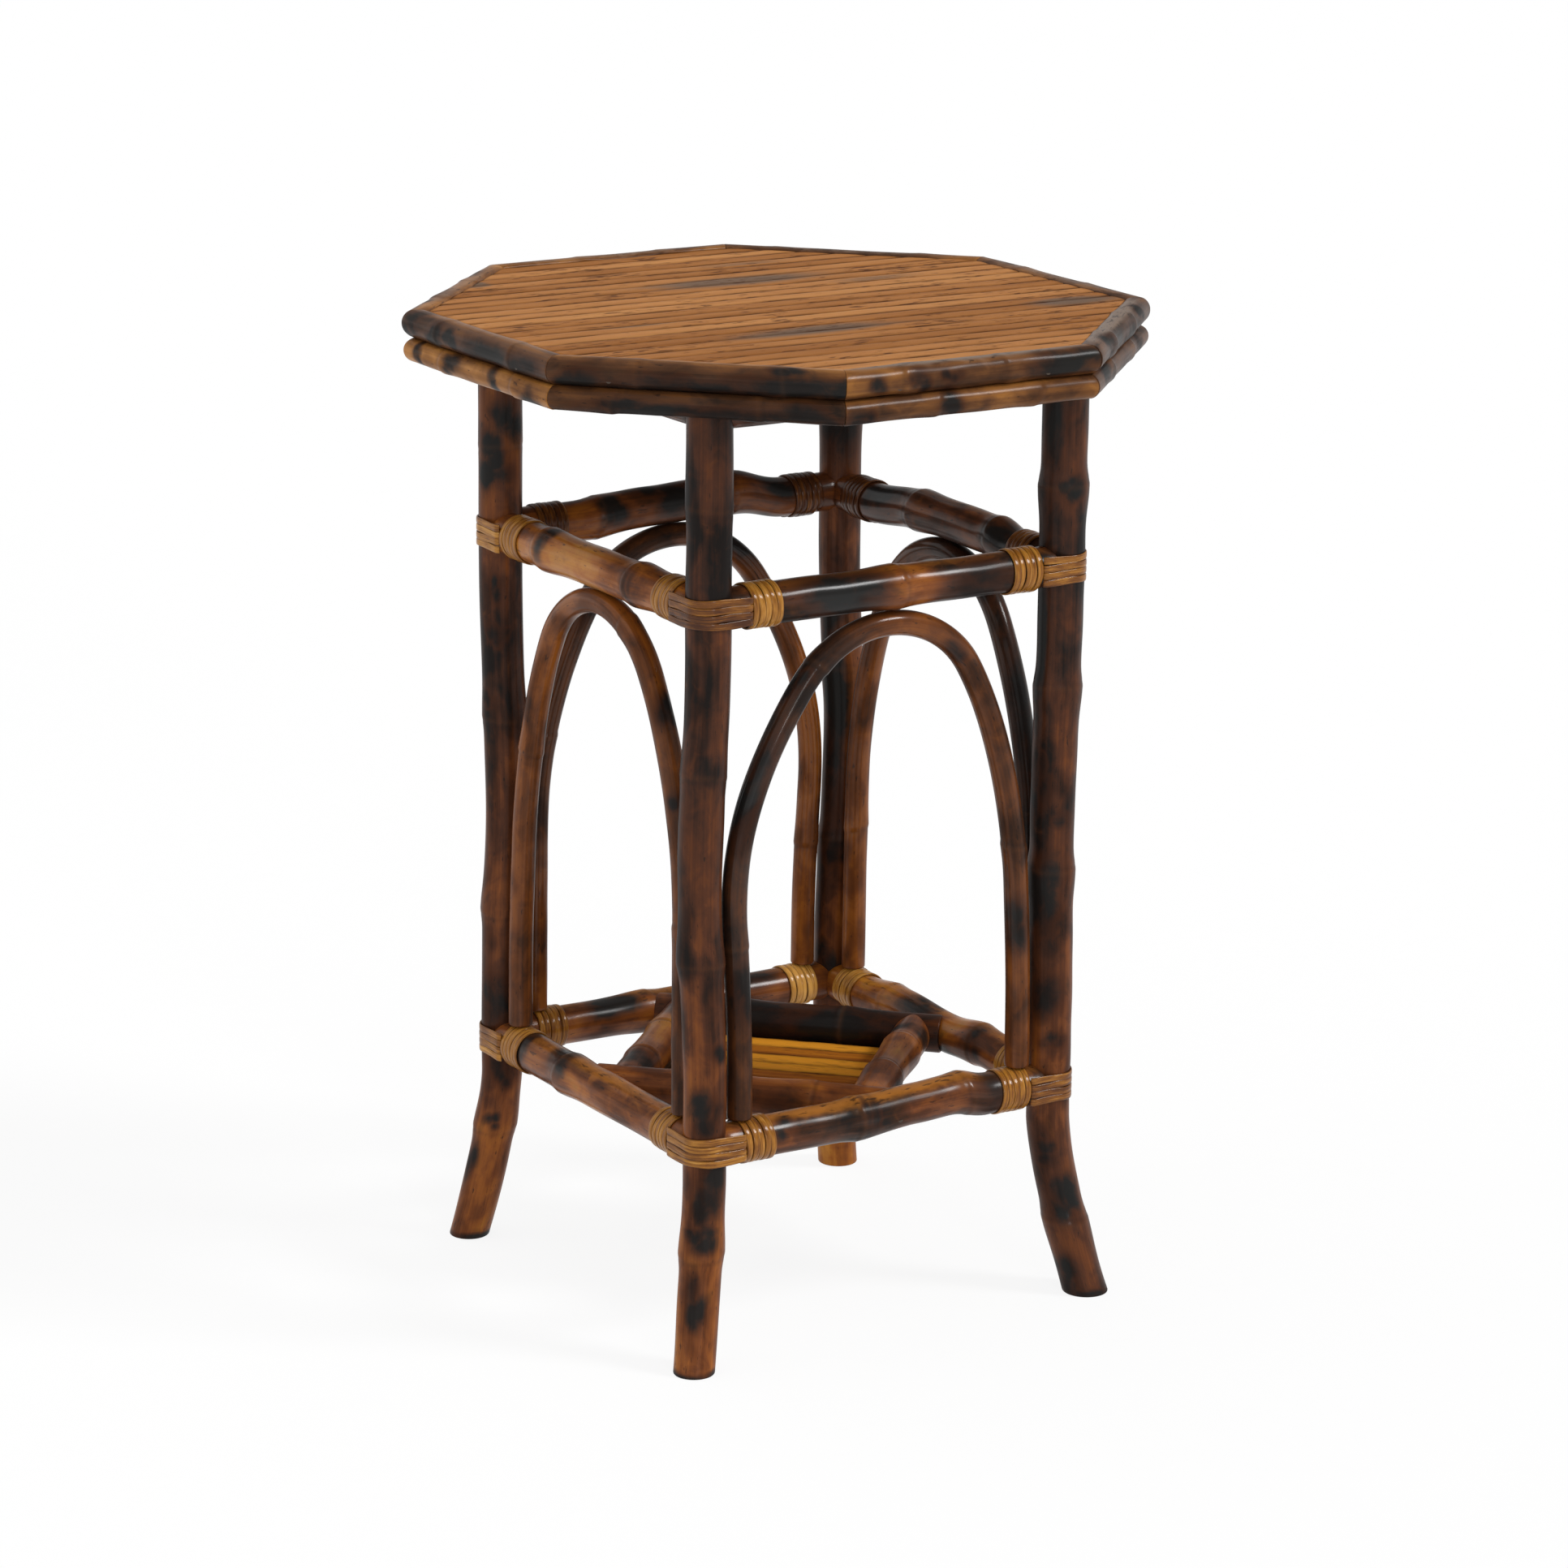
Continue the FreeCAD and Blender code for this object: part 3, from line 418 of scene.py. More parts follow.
for number, corner in enumerate(CORNERS):
    knuckles = LEG_KNUCKLES[corner]
    places = cane_places(LEG_LENGTH, knuckles)
    stout, flare = LEG_STOUTNESS[corner]
    radius = LEG_FOOT_RADIUS + (LEG_TOP_RADIUS - LEG_FOOT_RADIUS) * places / LEG_LENGTH
    radius = radius * (1 + stout + flare * np.maximum(1 - places / FLARE_START, 0.0) ** 1.5)
    bold = LEG_SWELL * np.array(KNUCKLE_BOLDNESS[corner])
    girth, fields = cane_girth(places, LEG_SIDES, radius, knuckles, bold, LEG_SEED + number, ring=0.45)
    kick = LEG_HALF + FOOT_KICK[corner] * np.maximum(1 - places / KICK_START, 0.0) ** 1.4
    raised = np.clip((places - WANDER_START) / (WANDER_END - WANDER_START), 0.0, 1.0)
    sway = np.sin(np.pi * raised) ** 2
    plan = [sign * kick + wander * sway for sign, wander in zip(LEG_SIGNS[corner], LEG_WANDER[corner])]
    rings = round_rings(np.stack([*plan, places], axis=-1), RIGHTWARD, INWARD, girth)
    fields.update(cane_fields(places, girth, LEG_WARMTH[corner], LEG_BURNS[corner], number))
    lay([(rings, fields)], "leg_pole_" + corner, "leg_" + corner, burnt_rattan)

# The stretchers and top rails are thick canes between the legs: a low and a high ring of four, and four rails
# under the board. They are cut to fit round the legs and screwed through them, and bowed as the cane grew.
STRETCHER_RADIUS = 0.0135
STRETCHER_SWELL = 0.11
STRETCHER_SIDES = 64
# How much thinner a cane's end is cut where it goes into a leg, and how far along
END_SQUEEZE = 0.006
END_REACH = 0.01
LEVELS = {"upper_stretcher": 0.497, "lower_stretcher": 0.145, "top_rail": 0.6244}
STRETCHER_KNUCKLES = {
    "upper_stretcher": {"front": (0.51,), "right": (0.26, 0.61), "back": (0.33, 0.73), "left": (0.26, 0.7)},
    "lower_stretcher": {"front": (0.42, 0.74), "right": (0.3, 0.71), "back": (0.58,), "left": (0.36,)},
    "top_rail": {"front": (0.45,), "right": (0.62,), "back": (0.38,), "left": (0.55,)},
}
# Bends as the cane grew: share of the length and lift there
STRETCHER_BENDS = {
    "upper_stretcher_right": ((0.18, 0.0), (0.28, 0.004), (0.45, 0.005), (0.6, 0.005), (0.82, 0.0)),
    "upper_stretcher_back": ((0.18, 0.0), (0.33, 0.007), (0.57, 0.0043), (0.8, 0.0)),
    "lower_stretcher_front": ((0.44, 0.0), (0.6, 0.0025), (0.72, 0.004), (0.81, 0.0)),
    "lower_stretcher_right": ((0.12, 0.0), (0.28, 0.0032), (0.45, 0.0), (0.66, 0.0022), (0.84, 0.0)),
}
# Warmth of the colour at shares of each length
STRETCHER_WARMTH = {
    "upper_stretcher": {
        "front": ((0, 0.4), (0.2, 0.22), (0.42, 0.14), (0.5, 0.5), (0.57, 0.6), (0.65, 0.2), (1, 0.2)),
        "right": ((0, 0.2), (0.4, 0.34), (0.7, 0.25), (1, 0.3)),
        "back": ((0, 0.28), (0.3, 0.28), (0.4, 0.42), (0.5, 0.34), (0.8, 0.48), (1, 0.4)),
        "left": ((0, 0.6), (0.3, 0.72), (0.5, 0.8), (0.7, 0.72), (1, 0.74)),
    },
    "lower_stretcher": {
        "front": ((0, 0.48), (0.2, 0.48), (0.37, 0.18), (0.45, 0.22), (0.6, 0.52), (0.8, 0.3), (1, 0.35)),
        "right": ((0, 0.7), (0.3, 0.62), (0.4, 0.78), (0.6, 0.5), (0.75, 0.72), (1, 0.75)),
        "back": ((0, 0.6), (0.3, 0.4), (0.6, 0.45), (1, 0.55)),
        "left": ((0, 0.5), (0.3, 0.45), (0.5, 0.6), (1, 0.62)),
    },
    "top_rail": {side: ((0, 0.3), (0.5, 0.4), (1, 0.25)) for side in SIDES},
}
# Burnt patches: share of the length, angle from the inner side over the top, half length, half width
STRETCHER_BURNS = {
    "upper_stretcher": {
        "front": ((0.36, 180, 0.024, 60), (0.74, 190, 0.022, 60), (0.25, 300, 0.02, 60), (0.6, 20, 0.02, 60)),
        "right": ((0.16, 60, 0.026, 60), (0.75, 40, 0.02, 60), (0.45, 300, 0.02, 60), (0.5, 180, 0.02, 60)),
        "back": ((0.55, 40, 0.016, 60), (0.24, 60, 0.016, 40), (0.7, 20, 0.01, 40), (0.4, 200, 0.03, 70)),
        "left": ((0.28, 140, 0.007, 60), (0.71, 200, 0.005, 60), (0.5, 320, 0.02, 60), (0.2, 20, 0.02, 50)),
    },
    "lower_stretcher": {
        "front": (
            (0.45, 170, 0.006, 80), (0.83, 150, 0.014, 120), (0.2, 150, 0.008, 30), (0.6, 300, 0.02, 60),
        ),
        "right": ((0.27, 30, 0.009, 50), (0.56, 75, 0.018, 45), (0.7, 180, 0.02, 60), (0.4, 300, 0.02, 60)),
        "back": ((0.3, 80, 0.03, 50), (0.7, 70, 0.02, 50), (0.5, 200, 0.02, 60)),
        "left": ((0.36, 110, 0.01, 60), (0.17, 120, 0.006, 60), (0.6, 300, 0.02, 50), (0.8, 20, 0.02, 60)),
    },
    "top_rail": {side: ((0.3, 200, 0.02, 60), (0.7, 300, 0.02, 60)) for side in SIDES},
}
# How far the upper side is rubbed back to lighter cane, and the angle it is rubbed at
STRETCHER_WEAR = {
    "upper_stretcher": {"front": 0.35, "right": 0.35, "back": 0.0, "left": 0.35},
    "lower_stretcher": {"front": 0.8, "right": 0.55, "back": 0.55, "left": 0.55},
    "top_rail": {side: 0.0 for side in SIDES},
}
WEAR_ANGLE = 98.0
glossy_rattan = scorched_cane(
    "glossy_rattan",
    ((0.0, (0.011, 0.008, 0.0068)), (1.0, (0.45, 0.18, 0.022)), (0.2, (0.037, 0.0145, 0.0068)),
     (0.4, (0.085, 0.0255, 0.0085)), (0.6, (0.19, 0.054, 0.01)), (0.8, (0.34, 0.108, 0.0125))),
    0.5, 0.36, 0.2)


def bend_lift(share, bends):
    """Lift of a bent cane: half cosine waves from one stop's lift to the next one's, and none at its ends."""
    stops = np.array([(0.0, 0.0), *bends, (1.0, 0.0)])
    before = np.clip(np.searchsorted(stops[:, 0], share, side="right") - 1, 0, len(stops) - 2)
    start, low = stops[before].T
    end, high = stops[before + 1].T
    return low + (high - low) * 0.5 * (1 - np.cos(np.pi * (share - start) / (end - start)))


# A count that gives every cane from here on an unevenness and a grain of its own
seed = 30
length = 2 * LEG_HALF
for kind, level in LEVELS.items():
    for quarter, side in enumerate(SIDES):
        seed += 1
        node = kind + "_" + side
        knuckles = [share * length for share in STRETCHER_KNUCKLES[kind][side]]
        places = cane_places(length, knuckles)
        girth, fields = cane_girth(
            places, STRETCHER_SIDES, STRETCHER_RADIUS, knuckles, STRETCHER_SWELL, seed, ring=0.6)
        squeeze = END_SQUEEZE * np.clip(1 - np.minimum(places, length - places) / END_REACH, 0.0, 1.0)
        girth = girth - squeeze[:, None]
        lift = bend_lift(places / length, STRETCHER_BENDS.get(node, ()))
        middles = np.stack([places - LEG_HALF, np.full_like(places, -LEG_HALF), level + lift], axis=-1)
        rings = round_rings(middles, INWARD, UPWARD, girth)
        warmth, burns = STRETCHER_WARMTH[kind][side], STRETCHER_BURNS[kind][side]
        wear_dust_and_sheen_bell = (WEAR_ANGLE, STRETCHER_WEAR[kind][side])
        fields.update(cane_fields(places, girth, warmth, burns, seed, length, wear_dust_and_sheen_bell))
        lay([(rings, fields)], kind + "_cane_" + side, node, glossy_rattan, 90 * quarter)

# The bindings at the eight joints are split cane, wound wet and dried tight: four flat strands round the
# outside of the leg, and one wound five times round each of the two stretchers, with its ends tucked under.
STRAND_WIDTH = 0.0044
STRAND_THICKNESS = 0.0014
STRAND_PITCH = 0.0044
WRAP_START = 0.007
WRAP_TURNS = 5
WRAP_CLEAR = 0.0001
WRAP_UNEVEN = 0.00012
WRAP_SLIP = 0.0004
TUCK_DEPTH = 0.0018
TUCK_TURN = 0.12
STRIP_WIDTH = 0.0048
STRIP_STEP = 0.0048
STRIP_CLEAR = 0.0003
STRIP_UNEVEN = 0.0003
# How far a strip runs on past the leg, how deep its ends dip, and over what length
STRIP_PAST = 0.0092
STRIP_DIP = 0.0016
DIP_REACH = 0.003
# How golden each joint's strands are: those wound on the stretcher that starts there and on the one that ends
# there, and those laid round the leg
BINDING_GOLD = {
    "upper_front_left": (0.58, 0.6, 0.16), "upper_front_right": (0.1, 0.56, 0.46),
    "upper_back_right": (0.05, 0.05, 0.05), "upper_back_left": (0.6, 0.05, 0.58),
    "lower_front_left": (0.5, 0.54, 0.42), "lower_front_right": (0.5, 0.58, 0.36),
    "lower_back_right": (0.74, 0.76, 0.66), "lower_back_left": (0.56, 0.5, 0.5),
}


def phase(chance):
    """A chance angle, in radians, for a wave to start at."""
    return chance.uniform(0, 6.3)


def flat_strand(path, out, width, gold, seed):
    """A strand of split cane along a path: a soft-cornered oval, wide across the path and thin the way out.

    The oval is a power of the cosine and the sine with their signs. Its width wavers along the strand.
    """
    chance = np.random.default_rng(seed)
    heading = np.gradient(path, axis=0)
    heading = heading / np.linalg.norm(heading, axis=1, keepdims=True)
    across = np.cross(out, heading)
    across = across / np.linalg.norm(across, axis=1, keepdims=True)
    angles = spokes(14)
    wide = 0.5 * width * np.sign(np.cos(angles)) * np.abs(np.cos(angles)) ** 0.6
    thick = 0.5 * STRAND_THICKNESS * np.sign(np.sin(angles)) * np.abs(np.sin(angles)) ** 0.8
    run = np.concatenate([[0.0], np.cumsum(np.linalg.norm(np.diff(path, axis=0), axis=1))])
    slow, slower = [np.sin(run / wave + phase(chance)) for wave in (0.004, 0.013)]
    waver = 1 + 0.05 * slow * slower
    rings = path[:, None, :] + wide[None, :, None] * (waver[:, None] * across)[:, None, :]
    rings = rings + thick[None, :, None] * np.cross(heading, across)[:, None, :]
    grain = np.stack(np.broadcast_arrays(run[:, None] + 3.1 * seed, wide, thick), axis=-1)
    edge = np.broadcast_to((np.abs(wide) / (0.5 * width)) ** 6, grain.shape[:2])
    tint = np.full(grain.shape[:2], gold + chance.uniform(-0.14, 0.14))
    return rings, {"grain": grain, "edge": edge, "tint": tint}


def wound_strand(start, height, gold, seed):
    """A strand wound round a stretcher: a helix round the X axis through the joint, with its ends tucked."""
    chance = np.random.default_rng(seed)
    angle = np.linspace(-np.pi / 3, -np.pi / 3 + 2 * np.pi * WRAP_TURNS, 300)
    gone = (angle - angle[0]) / (2 * np.pi)
    tuck = np.clip(1 - np.minimum(gone, WRAP_TURNS - gone) / TUCK_TURN, 0.0, 1.0) ** 2
    radius = STRETCHER_RADIUS + WRAP_CLEAR + 0.5 * STRAND_THICKNESS - TUCK_DEPTH * tuck
    radius = radius + WRAP_UNEVEN * np.sin(2.3 * angle + phase(chance))
    slip = WRAP_SLIP * np.sin(0.5 * angle + phase(chance)) * np.sin(angle + phase(chance))
    out = np.stack([np.zeros_like(angle), np.cos(angle), np.sin(angle)], axis=-1)
    path = radius[:, None] * out
    path[:, 0] = start + 0.5 * STRAND_WIDTH + STRAND_PITCH * gone + slip - LEG_HALF
    path[:, 1] -= LEG_HALF
    path[:, 2] += height
    return flat_strand(path, out, STRAND_WIDTH, gold, seed)


def corner_strand(radius, height, gold, seed):
    """A strand laid round the outside of a leg: straight, a quarter circle, straight, its ends dipped."""
    chance = np.random.default_rng(seed)
    inner = radius + STRIP_CLEAR + 0.5 * STRAND_THICKNESS
    straight = radius + STRIP_PAST
    bend = 0.5 * np.pi * inner
    run = np.linspace(0.0, 2 * straight + bend, 90)
    heading = np.clip((run - straight) / inner, 0.0, 0.5 * np.pi)
    before = np.minimum(run, straight)
    after = np.maximum(run - straight - bend, 0.0)
    out = np.stack([-np.sin(heading), -np.cos(heading), np.zeros_like(run)], axis=-1)
    path = inner * out
    path[:, 0] += straight - before
    path[:, 1] += after
    dip = np.clip(1 - np.minimum(run, run[-1] - run) / DIP_REACH, 0.0, 1.0) ** 2
    path = path - STRIP_DIP * dip[:, None] * out
    path[:, 2] = height + STRIP_UNEVEN * np.sin(run / 0.006 + phase(chance))
    path[:, :2] -= LEG_HALF
    return flat_strand(path, out, STRIP_WIDTH, gold, seed)


def split_cane():
    """Golden split cane: long fine fibres, a tint for each strand, and edges dark with dirt and lacquer."""
    finish = Finish(bpy.data.materials.new("split_cane"))
    grain = finish.grain()
    cloud = finish.noise(grain, (60.0, 200.0, 200.0), 3.0, 0.6, 0.3)
    fibre = finish.noise(grain, (30.0, 1500.0, 900.0), 3.0, 0.6)
    tone = finish.field("tint") + 1.0 * (cloud - 0.5) + 1.1 * (fibre - 0.5)
    colour = finish.ramp(tone, (
        (0.0, (0.06, 0.018, 0.0055)), (1.0, (0.62, 0.32, 0.075)), (0.3, (0.17, 0.058, 0.009)),
        (0.6, (0.35, 0.145, 0.02))))
    colour = finish.blend(0.45 * finish.field("edge"), colour, (0.06, 0.021, 0.0055))
    finish.bump(fibre + 0.5 * cloud, 0.00022)
    return finish.lacquer(colour, 0.36 + 0.25 * (fibre - 0.5), 0.06, 0.34, 0.16)


cane_wrap = split_cane()
for level in ("upper", "lower"):
    height = LEVELS[level + "_stretcher"]
    leg_radius = LEG_FOOT_RADIUS + (LEG_TOP_RADIUS - LEG_FOOT_RADIUS) * height / LEG_LENGTH
    for quarter, corner in enumerate(CORNERS):
        seed += 10
        starting, ending, laid = BINDING_GOLD[level + "_" + corner]
        strands = [wound_strand(leg_radius + WRAP_START, height, starting, seed)]
        rings, fields = wound_strand(leg_radius + WRAP_START, height, ending, seed + 1)
        mirrored = {name: values[:, ::-1] for name, values in fields.items()}
        strands.append((rings[:, ::-1][..., [1, 0, 2]], mirrored))
        for strip in range(4):
            lift = STRIP_STEP * (strip - 1.5)
            strands.append(corner_strand(leg_radius, height + lift, laid, seed + 2 + strip))
        node = level + "_binding_" + corner
        lay(strands, level + "_wrap_" + corner, node, cane_wrap, 90 * quarter)

# The arches are thinner canes, one on each side, steamed and bent to a three-centred arch. Their feet stand
# on the lower bindings close to the legs, and their crowns are nailed up to the upper stretchers.
ARCH_RADIUS = 0.0082
ARCH_REACH = 0.10745
ARCH_FOOT = 0.1602
ARCH_CROWN = {"front": 0.4734, "right": 0.48, "back": 0.4797, "left": 0.475}
ARCH_CROWN_RADIUS = 0.075
ARCH_SWELL = 0.055
ARCH_SIDES = 40
# How much of its height an arch is curved over, and the height of its foot on bindings of round cane
ARCH_CURVED_SHARE = 0.6
ARCH_BASE = 0.1626
ARCH_KNUCKLES = {
    "front": (0.16, 0.42, 0.79), "right": (0.22, 0.6, 0.86),
    "back": (0.12, 0.47, 0.74), "left": (0.27, 0.55, 0.83),
}
ARCH_WARMTH = {
    "front": (
        (0, 0.4), (0.1, 0.32), (0.2, 0.1), (0.4, 0.16), (0.5, 0.48), (0.62, 0.4), (0.8, 0.32), (1, 0.48),
    ),
    "right": ((0, 0.3), (0.3, 0.1), (0.5, 0.15), (0.7, 0.5), (1, 0.55)),
    "back": ((0, 0.64), (0.3, 0.54), (0.5, 0.3), (0.7, 0.3), (1, 0.5)),
    "left": ((0, 0.42), (0.3, 0.52), (0.5, 0.55), (0.7, 0.4), (1, 0.4)),
}
# Burnt patches: share of the length, angle from the inner side over the outside, half length, half width
ARCH_BURNS = {
    "front": (
        (0.3, 120, 0.03, 60), (0.4, 90, 0.012, 60), (0.12, 200, 0.02, 70), (0.58, 200, 0.01, 50),
        (0.86, 230, 0.016, 60),
    ),
    "right": ((0.3, 60, 0.05, 90), (0.45, 40, 0.02, 90), (0.75, 60, 0.016, 60)),
    "back": ((0.45, 40, 0.02, 80), (0.6, 20, 0.016, 60), (0.15, 60, 0.01, 60)),
    "left": ((0.64, 90, 0.008, 50), (0.72, 120, 0.006, 40), (0.83, 40, 0.02, 60), (0.33, 20, 0.01, 50)),
}
# How far each limb leans inwards about halfway up, the one that starts the arch and the one that ends it
ARCH_LEAN = {"front": (-0.007, 0.006), "right": (0.001, 0.002), "back": (-0.006, 0.001), "left": (0.007, 0.0)}


def arch_line(crown):
    """Lengths run along an arch up to each change of its bend, and the headings there.

    It goes up, over a wide arc, a tight arc at the crown and another wide arc, and down. On an arc the
    heading turns by the length run over that arc's radius.
    """
    rise = ARCH_CURVED_SHARE * (crown - ARCH_BASE)
    small = ARCH_CROWN_RADIUS
    large = (ARCH_REACH ** 2 + rise ** 2 - 2 * rise * small) / (2 * (ARCH_REACH - small))
    lean = math.atan2(rise - small, large - ARCH_REACH)
    upright = crown - rise - ARCH_FOOT
    bends = np.cumsum([0.0, upright, large * lean, small * (np.pi - 2 * lean), large * lean, upright])
    return bends, np.array([0.0, 0.0, lean, np.pi - lean, np.pi, np.pi])


arch_rattan = scorched_cane(
    "arch_rattan",
    ((0.0, (0.014, 0.0085, 0.0065)), (1.0, (0.42, 0.155, 0.022)), (0.25, (0.047, 0.0175, 0.0075)),
     (0.5, (0.122, 0.036, 0.008)), (0.75, (0.25, 0.075, 0.0105))),
    0.4, 0.32, 0.12)
for quarter, side in enumerate(SIDES):
    seed += 1
    bends, headings = arch_line(ARCH_CROWN[side])
    knuckles = [share * bends[-1] for share in ARCH_KNUCKLES[side]]
    places = cane_places(bends[-1], knuckles, 0.0025)
    girth, fields = cane_girth(places, ARCH_SIDES, ARCH_RADIUS, knuckles, ARCH_SWELL, seed, 0.01, 0.6)
    heading = np.interp(places, bends, headings)
    steps = np.diff(places)
    midway = 0.5 * (heading[1:] + heading[:-1])
    x = np.concatenate([[0.0], np.cumsum(steps * np.sin(midway))]) - ARCH_REACH
    z = np.concatenate([[0.0], np.cumsum(steps * np.cos(midway))]) + ARCH_FOOT
    raised = np.clip((z - ARCH_FOOT) / (ARCH_CROWN[side] - ARCH_FOOT), 0.0, 1.0)
    lean = np.where(x < 0, ARCH_LEAN[side][0], -ARCH_LEAN[side][1])
    x = x + np.sin(np.pi * raised ** 1.3) ** 2 * lean
    middles = np.stack([x, np.full_like(x, -LEG_HALF), z], axis=-1)
    over = np.stack([-np.cos(heading), np.zeros_like(x), np.sin(heading)], axis=-1)
    rings = round_rings(middles, INWARD, over, girth)
    fields.update(cane_fields(places, girth, ARCH_WARMTH[side], ARCH_BURNS[side], seed, places[-1]))
    lay([(rings, fields)], "arch_cane_" + side, "arch_" + side, arch_rattan, 90 * quarter)

# The shelf is a square tray set cornerwise between the lower stretchers: four rim canes, two running through
# and two fitted between them, over a thin board with eight split-cane slats glued on it.
SHELF_OFFSET = 0.081
SHELF_RIM_RADIUS = 0.013
SHELF_SEAT = 0.133
SHELF_RIM_SWELL = 0.08
SHELF_RIM_SIDES = 56
SHELF_KNUCKLES = (0.34, 0.72)
# Half the length of the two canes that run through
SHELF_THROUGH = 0.1003
SHELF_WARMTH = {
    "front_left": ((0, 0.65), (0.3, 0.6), (0.6, 0.7), (1, 0.65)),
    "front_right": ((0, 0.55), (0.5, 0.7), (1, 0.55)),
    "back_right": ((0, 0.35), (0.12, 0.26), (0.5, 0.24), (0.88, 0.26), (1, 0.45)),
    "back_left": ((0, 0.4), (0.4, 0.72), (1, 0.45)),
}
SHELF_BURNS = {
    "front_left": ((0.2, 250, 0.02, 60), (0.6, 200, 0.02, 60)),
    "front_right": ((0.85, 110, 0.01, 80), (0.2, 240, 0.02, 60)),
    "back_right": ((0.3, 20, 0.04, 90), (0.7, 20, 0.04, 90), (0.5, 220, 0.02, 60)),
    "back_left": ((0.15, 80, 0.014, 60), (0.85, 40, 0.012, 60)),
}
for quarter, corner in enumerate(CORNERS):
    seed += 1
    half = SHELF_THROUGH if corner in ("front_left", "back_right") else SHELF_OFFSET
    length = 2 * half
    knuckles = [share * length for share in SHELF_KNUCKLES]
    places = cane_places(length, knuckles)
    girth, fields = cane_girth(
        places, SHELF_RIM_SIDES, SHELF_RIM_RADIUS, knuckles, SHELF_RIM_SWELL, seed)
    height = np.full_like(places, LEVELS["lower_stretcher"])
    middles = np.stack([places - half, np.full_like(places, -SHELF_OFFSET), height], axis=-1)
    rings = round_rings(middles, INWARD, UPWARD, girth)
    rings[..., 2] = np.maximum(rings[..., 2], SHELF_SEAT)
    fields.update(cane_fields(places, girth, SHELF_WARMTH[corner], SHELF_BURNS[corner], seed, length))
    name = "shelf_rim_cane_" + corner
    lay([(rings, fields)], name, "shelf_rim_" + corner, burnt_rattan, 90 * quarter - 45)

# Half the clear width between the rim canes
SHELF_CLEAR = 0.06666
SHELF_BOARD_TOP = 0.1329
SHELF_SLAT_GAP = 0.0004
SHELF_SLAT_THICKNESS = 0.004
SHELF_TINTS = (0.25, 0.3, 0.22, 0.4, 0.98, 1.05, 0.5, 1.0)


def slat_rings(width, thickness, low, middle, reach, columns, seed):
    """One slat along X: its section carried from end to end, each line as long as the outline lets it be.

    The section is a flat underside, upright edges, eased corners and a slightly crowned top. Its edges waver
    by a few tenths of a millimetre along the slat.
    """
    chance = np.random.default_rng(seed)
    ease, waver, unlevel = 0.2 * thickness, 0.00018, 0.02
    across = width * np.array([-0.5, 0.5, 0.5, 0.5, 0.5, 0.5, 0.25, 0.0, -0.25, -0.5, -0.5, -0.5, -0.5])
    inset = ease * np.array([0, 0, 0, 0.08, 0.4, 1.1, 0, 0, 0, -1.1, -0.4, -0.08, 0])
    rise = np.array([0.0, 0.0, 0.7, 0.8, 0.9, 0.95, 0.99, 1.0, 0.99, 0.95, 0.9, 0.8, 0.7])
    across = across - inset
    share = np.linspace(-1.0, 1.0, columns)
    y = middle + across
    x = share[:, None] * reach(y)[None, :]
    slow, quick = [np.sin(wave * share + phase(chance)) for wave in (9.0, 23.0)]
    spread = y[None, :] + (waver * slow * quick)[:, None]
    high = low + thickness * rise[None, :] * (1 + unlevel * np.sin(14 * share + phase(chance)))[:, None]
    rings = np.stack([x, spread, high], axis=-1)
    grain = np.stack(np.broadcast_arrays(x + 2.3 * seed, across, rise * 0.004), axis=-1)
    edge = np.broadcast_to(np.clip((np.abs(across) / (0.5 * width) - 0.8) / 0.15, 0.0, 1.0), x.shape)
    return rings, {"grain": grain, "edge": edge}


def split_slat(name, stops, smoke_and_sheen_colour, nicked):
    """Split rattan slats: fibres, streaks, dark nicks along the grain, a tint for each and smoky patches with
    painted sheen.

    The seams between slats are dark with dirt, more in some places than in others.
    """
    finish = Finish(bpy.data.materials.new(name))
    grain = finish.grain()
    cloud = finish.noise(grain, (8.0, 50.0, 50.0), 3.0, 0.55, 0.3)
    streak = finish.noise(grain, (5.0, 380.0, 380.0), 3.0, 0.6)
    fibre = finish.noise(grain, (16.0, 1500.0, 1500.0), 4.0, 0.65)
    nick = finish.noise(grain, (75.0, 400.0, 400.0), 2.0, 0.5, 0.2)
    crowd = finish.noise(grain, (10.0, 30.0, 30.0), 2.0)
    dirt = finish.noise(grain, (26.0, 60.0, 60.0), 2.0, 0.6)
    tone = finish.field("tint") + 0.5 * (cloud - 0.5) + 0.5 * (streak - 0.5) + 0.35 * (fibre - 0.5)
    colour = finish.ramp(tone, stops)
    # Grey smoky patches, partly painted sheen on the top
    smoke = finish.step(finish.field("smoke") + 0.7 * (cloud - 0.5) + 0.7 * (streak - 0.5), 0.25, 0.85)
    colour = finish.blend(0.8 * smoke, colour, smoke_and_sheen_colour)
    cut = finish.step(nick + 0.6 * (crowd - 0.5), 0.615, 0.72)
    colour = finish.blend(nicked * cut, colour, (0.06, 0.024, 0.018))
    seam = finish.field("edge") * (0.45 + 0.55 * finish.step(dirt, 0.35, 0.6))
    colour = finish.blend(0.9 * seam, colour, (0.038, 0.014, 0.007))
    finish.bump(fibre - 1.2 * cut + 0.4 * cloud, 0.00016)
    return finish.lacquer(colour, 0.52 + 0.25 * (fibre - 0.5) + 0.2 * cut, 0.03, 0.0, 0.2)


